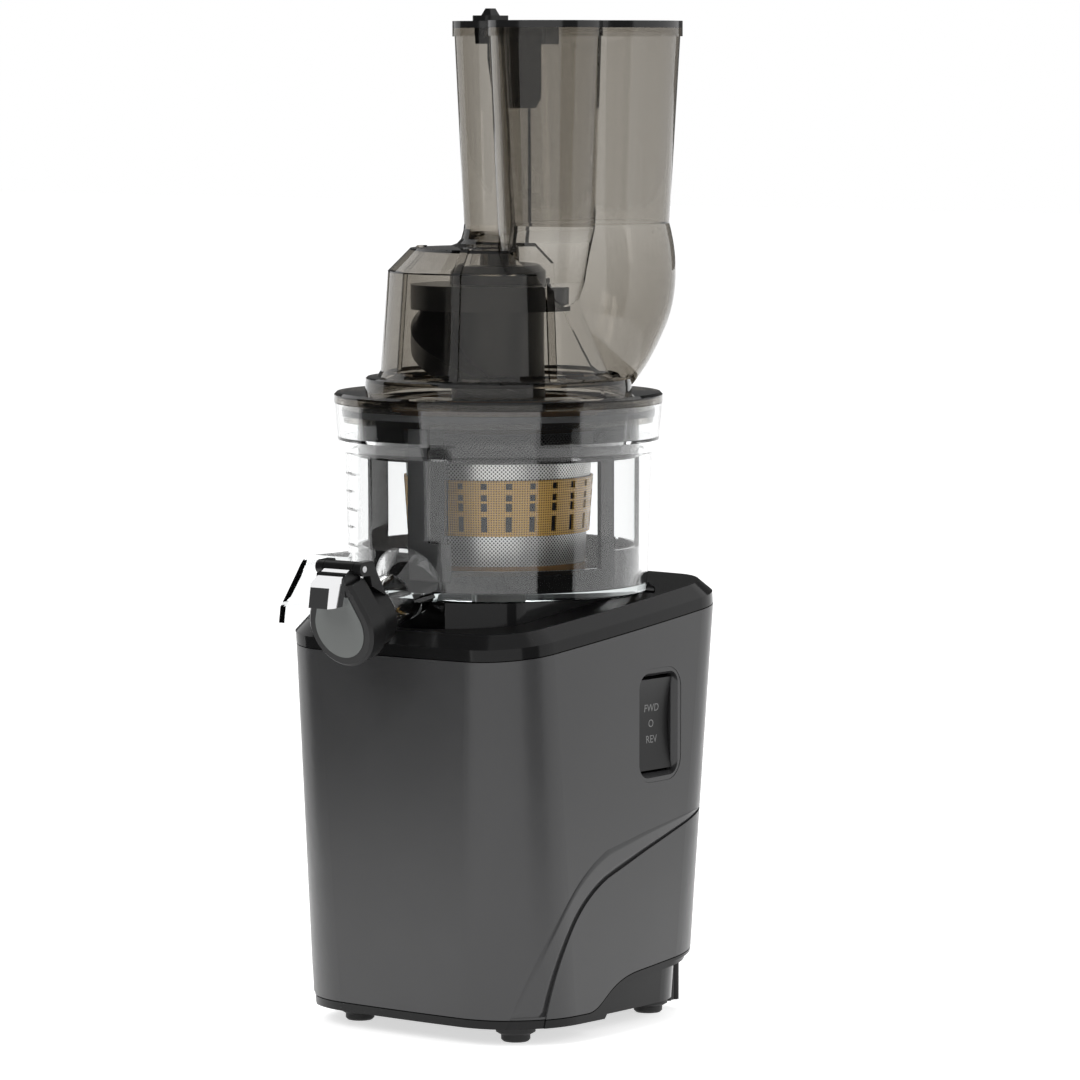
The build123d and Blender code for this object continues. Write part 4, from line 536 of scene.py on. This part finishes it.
def add_world():
    """White for the camera and through clear parts, soft for diffuse light, dim for gloss."""
    world = bpy.data.worlds.new("studio")
    world.use_nodes = True
    bpy.context.scene.world = world
    nodes, links = world.node_tree.nodes, world.node_tree.links
    nodes.clear()
    output = nodes.new("ShaderNodeOutputWorld")
    path = nodes.new("ShaderNodeLightPath")
    levels = {"white": 1.0, "soft": WORLD_SOFT, "dim": WORLD_DIM}
    backgrounds = {}
    for name, level in levels.items():
        backgrounds[name] = nodes.new("ShaderNodeBackground")
        backgrounds[name].inputs["Color"].default_value = (1.0, 1.0, 1.0, 1.0)
        backgrounds[name].inputs["Strength"].default_value = level
    gloss = nodes.new("ShaderNodeMixShader")
    links.new(path.outputs["Is Glossy Ray"], gloss.inputs["Fac"])
    links.new(backgrounds["soft"].outputs[0], gloss.inputs[1])
    links.new(backgrounds["dim"].outputs[0], gloss.inputs[2])
    seen = math_node(nodes, links, "MAXIMUM", path.outputs["Is Camera Ray"],
                     path.outputs["Is Transmission Ray"])
    mix = nodes.new("ShaderNodeMixShader")
    links.new(seen, mix.inputs["Fac"])
    links.new(gloss.outputs[0], mix.inputs[1])
    links.new(backgrounds["white"].outputs[0], mix.inputs[2])
    links.new(mix.outputs[0], output.inputs["Surface"])


def add_floor():
    """Pale floor that keeps the part's shadow and reads as white to the camera."""
    material = bpy.data.materials.new("floor_white")
    material.use_nodes = True
    nodes, links = material.node_tree.nodes, material.node_tree.links
    nodes.clear()
    output = nodes.new("ShaderNodeOutputMaterial")
    diffuse = nodes.new("ShaderNodeBsdfDiffuse")
    diffuse.inputs["Color"].default_value = (0.85, 0.85, 0.85, 1.0)
    glow = nodes.new("ShaderNodeEmission")
    path = nodes.new("ShaderNodeLightPath")
    seen = math_node(nodes, links, "MAXIMUM", path.outputs["Is Camera Ray"],
                     math_node(nodes, links, "MAXIMUM", path.outputs["Is Glossy Ray"],
                               path.outputs["Is Transmission Ray"]))
    links.new(math_node(nodes, links, "MULTIPLY", seen, FLOOR_GLOW), glow.inputs["Strength"])
    add = nodes.new("ShaderNodeAddShader")
    links.new(diffuse.outputs[0], add.inputs[0])
    links.new(glow.outputs[0], add.inputs[1])
    links.new(add.outputs[0], output.inputs["Surface"])
    mesh = bpy.data.meshes.new("floor")
    reach = FLOOR_REACH
    mesh.from_pydata([(-reach, -reach, 0), (reach, -reach, 0), (reach, reach, 0), (-reach, reach, 0)],
                     [], [(0, 1, 2, 3)])
    mesh.materials.append(material)
    floor = bpy.data.objects.new("floor", mesh)
    bpy.context.scene.collection.objects.link(floor)


def glow_material(name, level):
    """Plain glowing material of a card."""
    material = bpy.data.materials.new(name)
    material.use_nodes = True
    nodes, links = material.node_tree.nodes, material.node_tree.links
    nodes.clear()
    output = nodes.new("ShaderNodeOutputMaterial")
    glow = nodes.new("ShaderNodeEmission")
    glow.inputs["Strength"].default_value = level
    links.new(glow.outputs[0], output.inputs["Surface"])
    return material


def hide_but_gloss(card):
    """Links a card to the scene so that only glossy reflections see it."""
    bpy.context.scene.collection.objects.link(card)
    card.visible_camera = False
    card.visible_diffuse = False
    card.visible_transmission = False
    card.visible_shadow = False


def add_card(name, start, end, level, through=False):
    """Upright curved card for gloss, between two angles in degrees from the camera's azimuth."""
    material = glow_material(name, level)
    right, back = camera_axes()
    verts, faces = [], []
    for i in range(CARD_STEPS + 1):
        angle = math.radians(start + (end - start) * i / CARD_STEPS)
        place = (back * math.cos(angle) + right * math.sin(angle)) * CARD_RADIUS
        verts += [(place.x, place.y, CARD_LOW), (place.x, place.y, CARD_HIGH)]
    for i in range(CARD_STEPS):
        faces.append((2 * i, 2 * i + 2, 2 * i + 3, 2 * i + 1))
    mesh = bpy.data.meshes.new(name)
    mesh.from_pydata(verts, [], faces)
    mesh.materials.append(material)
    card = bpy.data.objects.new(name, mesh)
    hide_but_gloss(card)
    card.visible_transmission = through


def add_roof(level):
    """Level card overhead for the metal's upper faces."""
    material = glow_material("roof", level)
    mesh = bpy.data.meshes.new("roof")
    reach, height = ROOF_REACH, ROOF_HEIGHT
    mesh.from_pydata([(-reach, -reach, height), (-reach, reach, height), (reach, reach, height),
                      (reach, -reach, height)], [], [(0, 1, 2, 3)])
    mesh.materials.append(material)
    roof = bpy.data.objects.new("roof", mesh)
    hide_but_gloss(roof)


def add_area(name, location, target, size, power):
    """Soft rectangular lamp aimed at a point."""
    data = bpy.data.lights.new(name, "AREA")
    data.shape = "RECTANGLE"
    data.size, data.size_y = size
    data.energy = power
    lamp = bpy.data.objects.new(name, data)
    lamp.location = location
    lamp.rotation_euler = (Vector(target) - Vector(location)).to_track_quat("-Z", "Y").to_euler()
    lamp.visible_glossy = False
    bpy.context.scene.collection.objects.link(lamp)


def light():
    """Even studio light, with white cards, two dark flags and a roof for the gloss to reflect."""
    right, back = camera_axes()
    centre = Vector(LIGHT_TARGET)
    add_area("key", centre + back * 1.6 - right * 1.3 + Vector((0, 0, 1.4)), centre, (1.2, 1.2), 26.0)
    add_area("fill", centre + back * 1.2 + right * 1.7 + Vector((0, 0, 0.8)), centre, (1.0, 1.4), 16.0)
    add_area("rear", centre - back * 1.6 + Vector((0, 0, 1.2)), centre, (1.4, 1.0), 12.0)
    add_card("card_front", -50.0, 29.0, CARD_LEVEL)
    add_card("flag_right", 29.0, 58.0, FLAG_LEVEL, True)
    add_card("card_right", 58.0, 138.0, CARD_LEVEL)
    add_card("flag_left", -110.0, -54.0, FLAG_LEVEL, True)
    add_card("card_left", -150.0, -112.0, CARD_LEVEL)
    add_roof(ROOF_LEVEL)


def main():
    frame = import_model()
    bpy.context.scene.view_settings.view_transform = "Standard"
    add_camera()
    housing_material = dress(frame)
    crease_facets(housing_material)
    graduations(moulded("graduation_grey", (0.50, 0.50, 0.50), 0.4))
    switch_text(moulded("mark_grey", (0.17, 0.17, 0.17), 0.4))
    add_world()
    add_floor()
    light()


main()
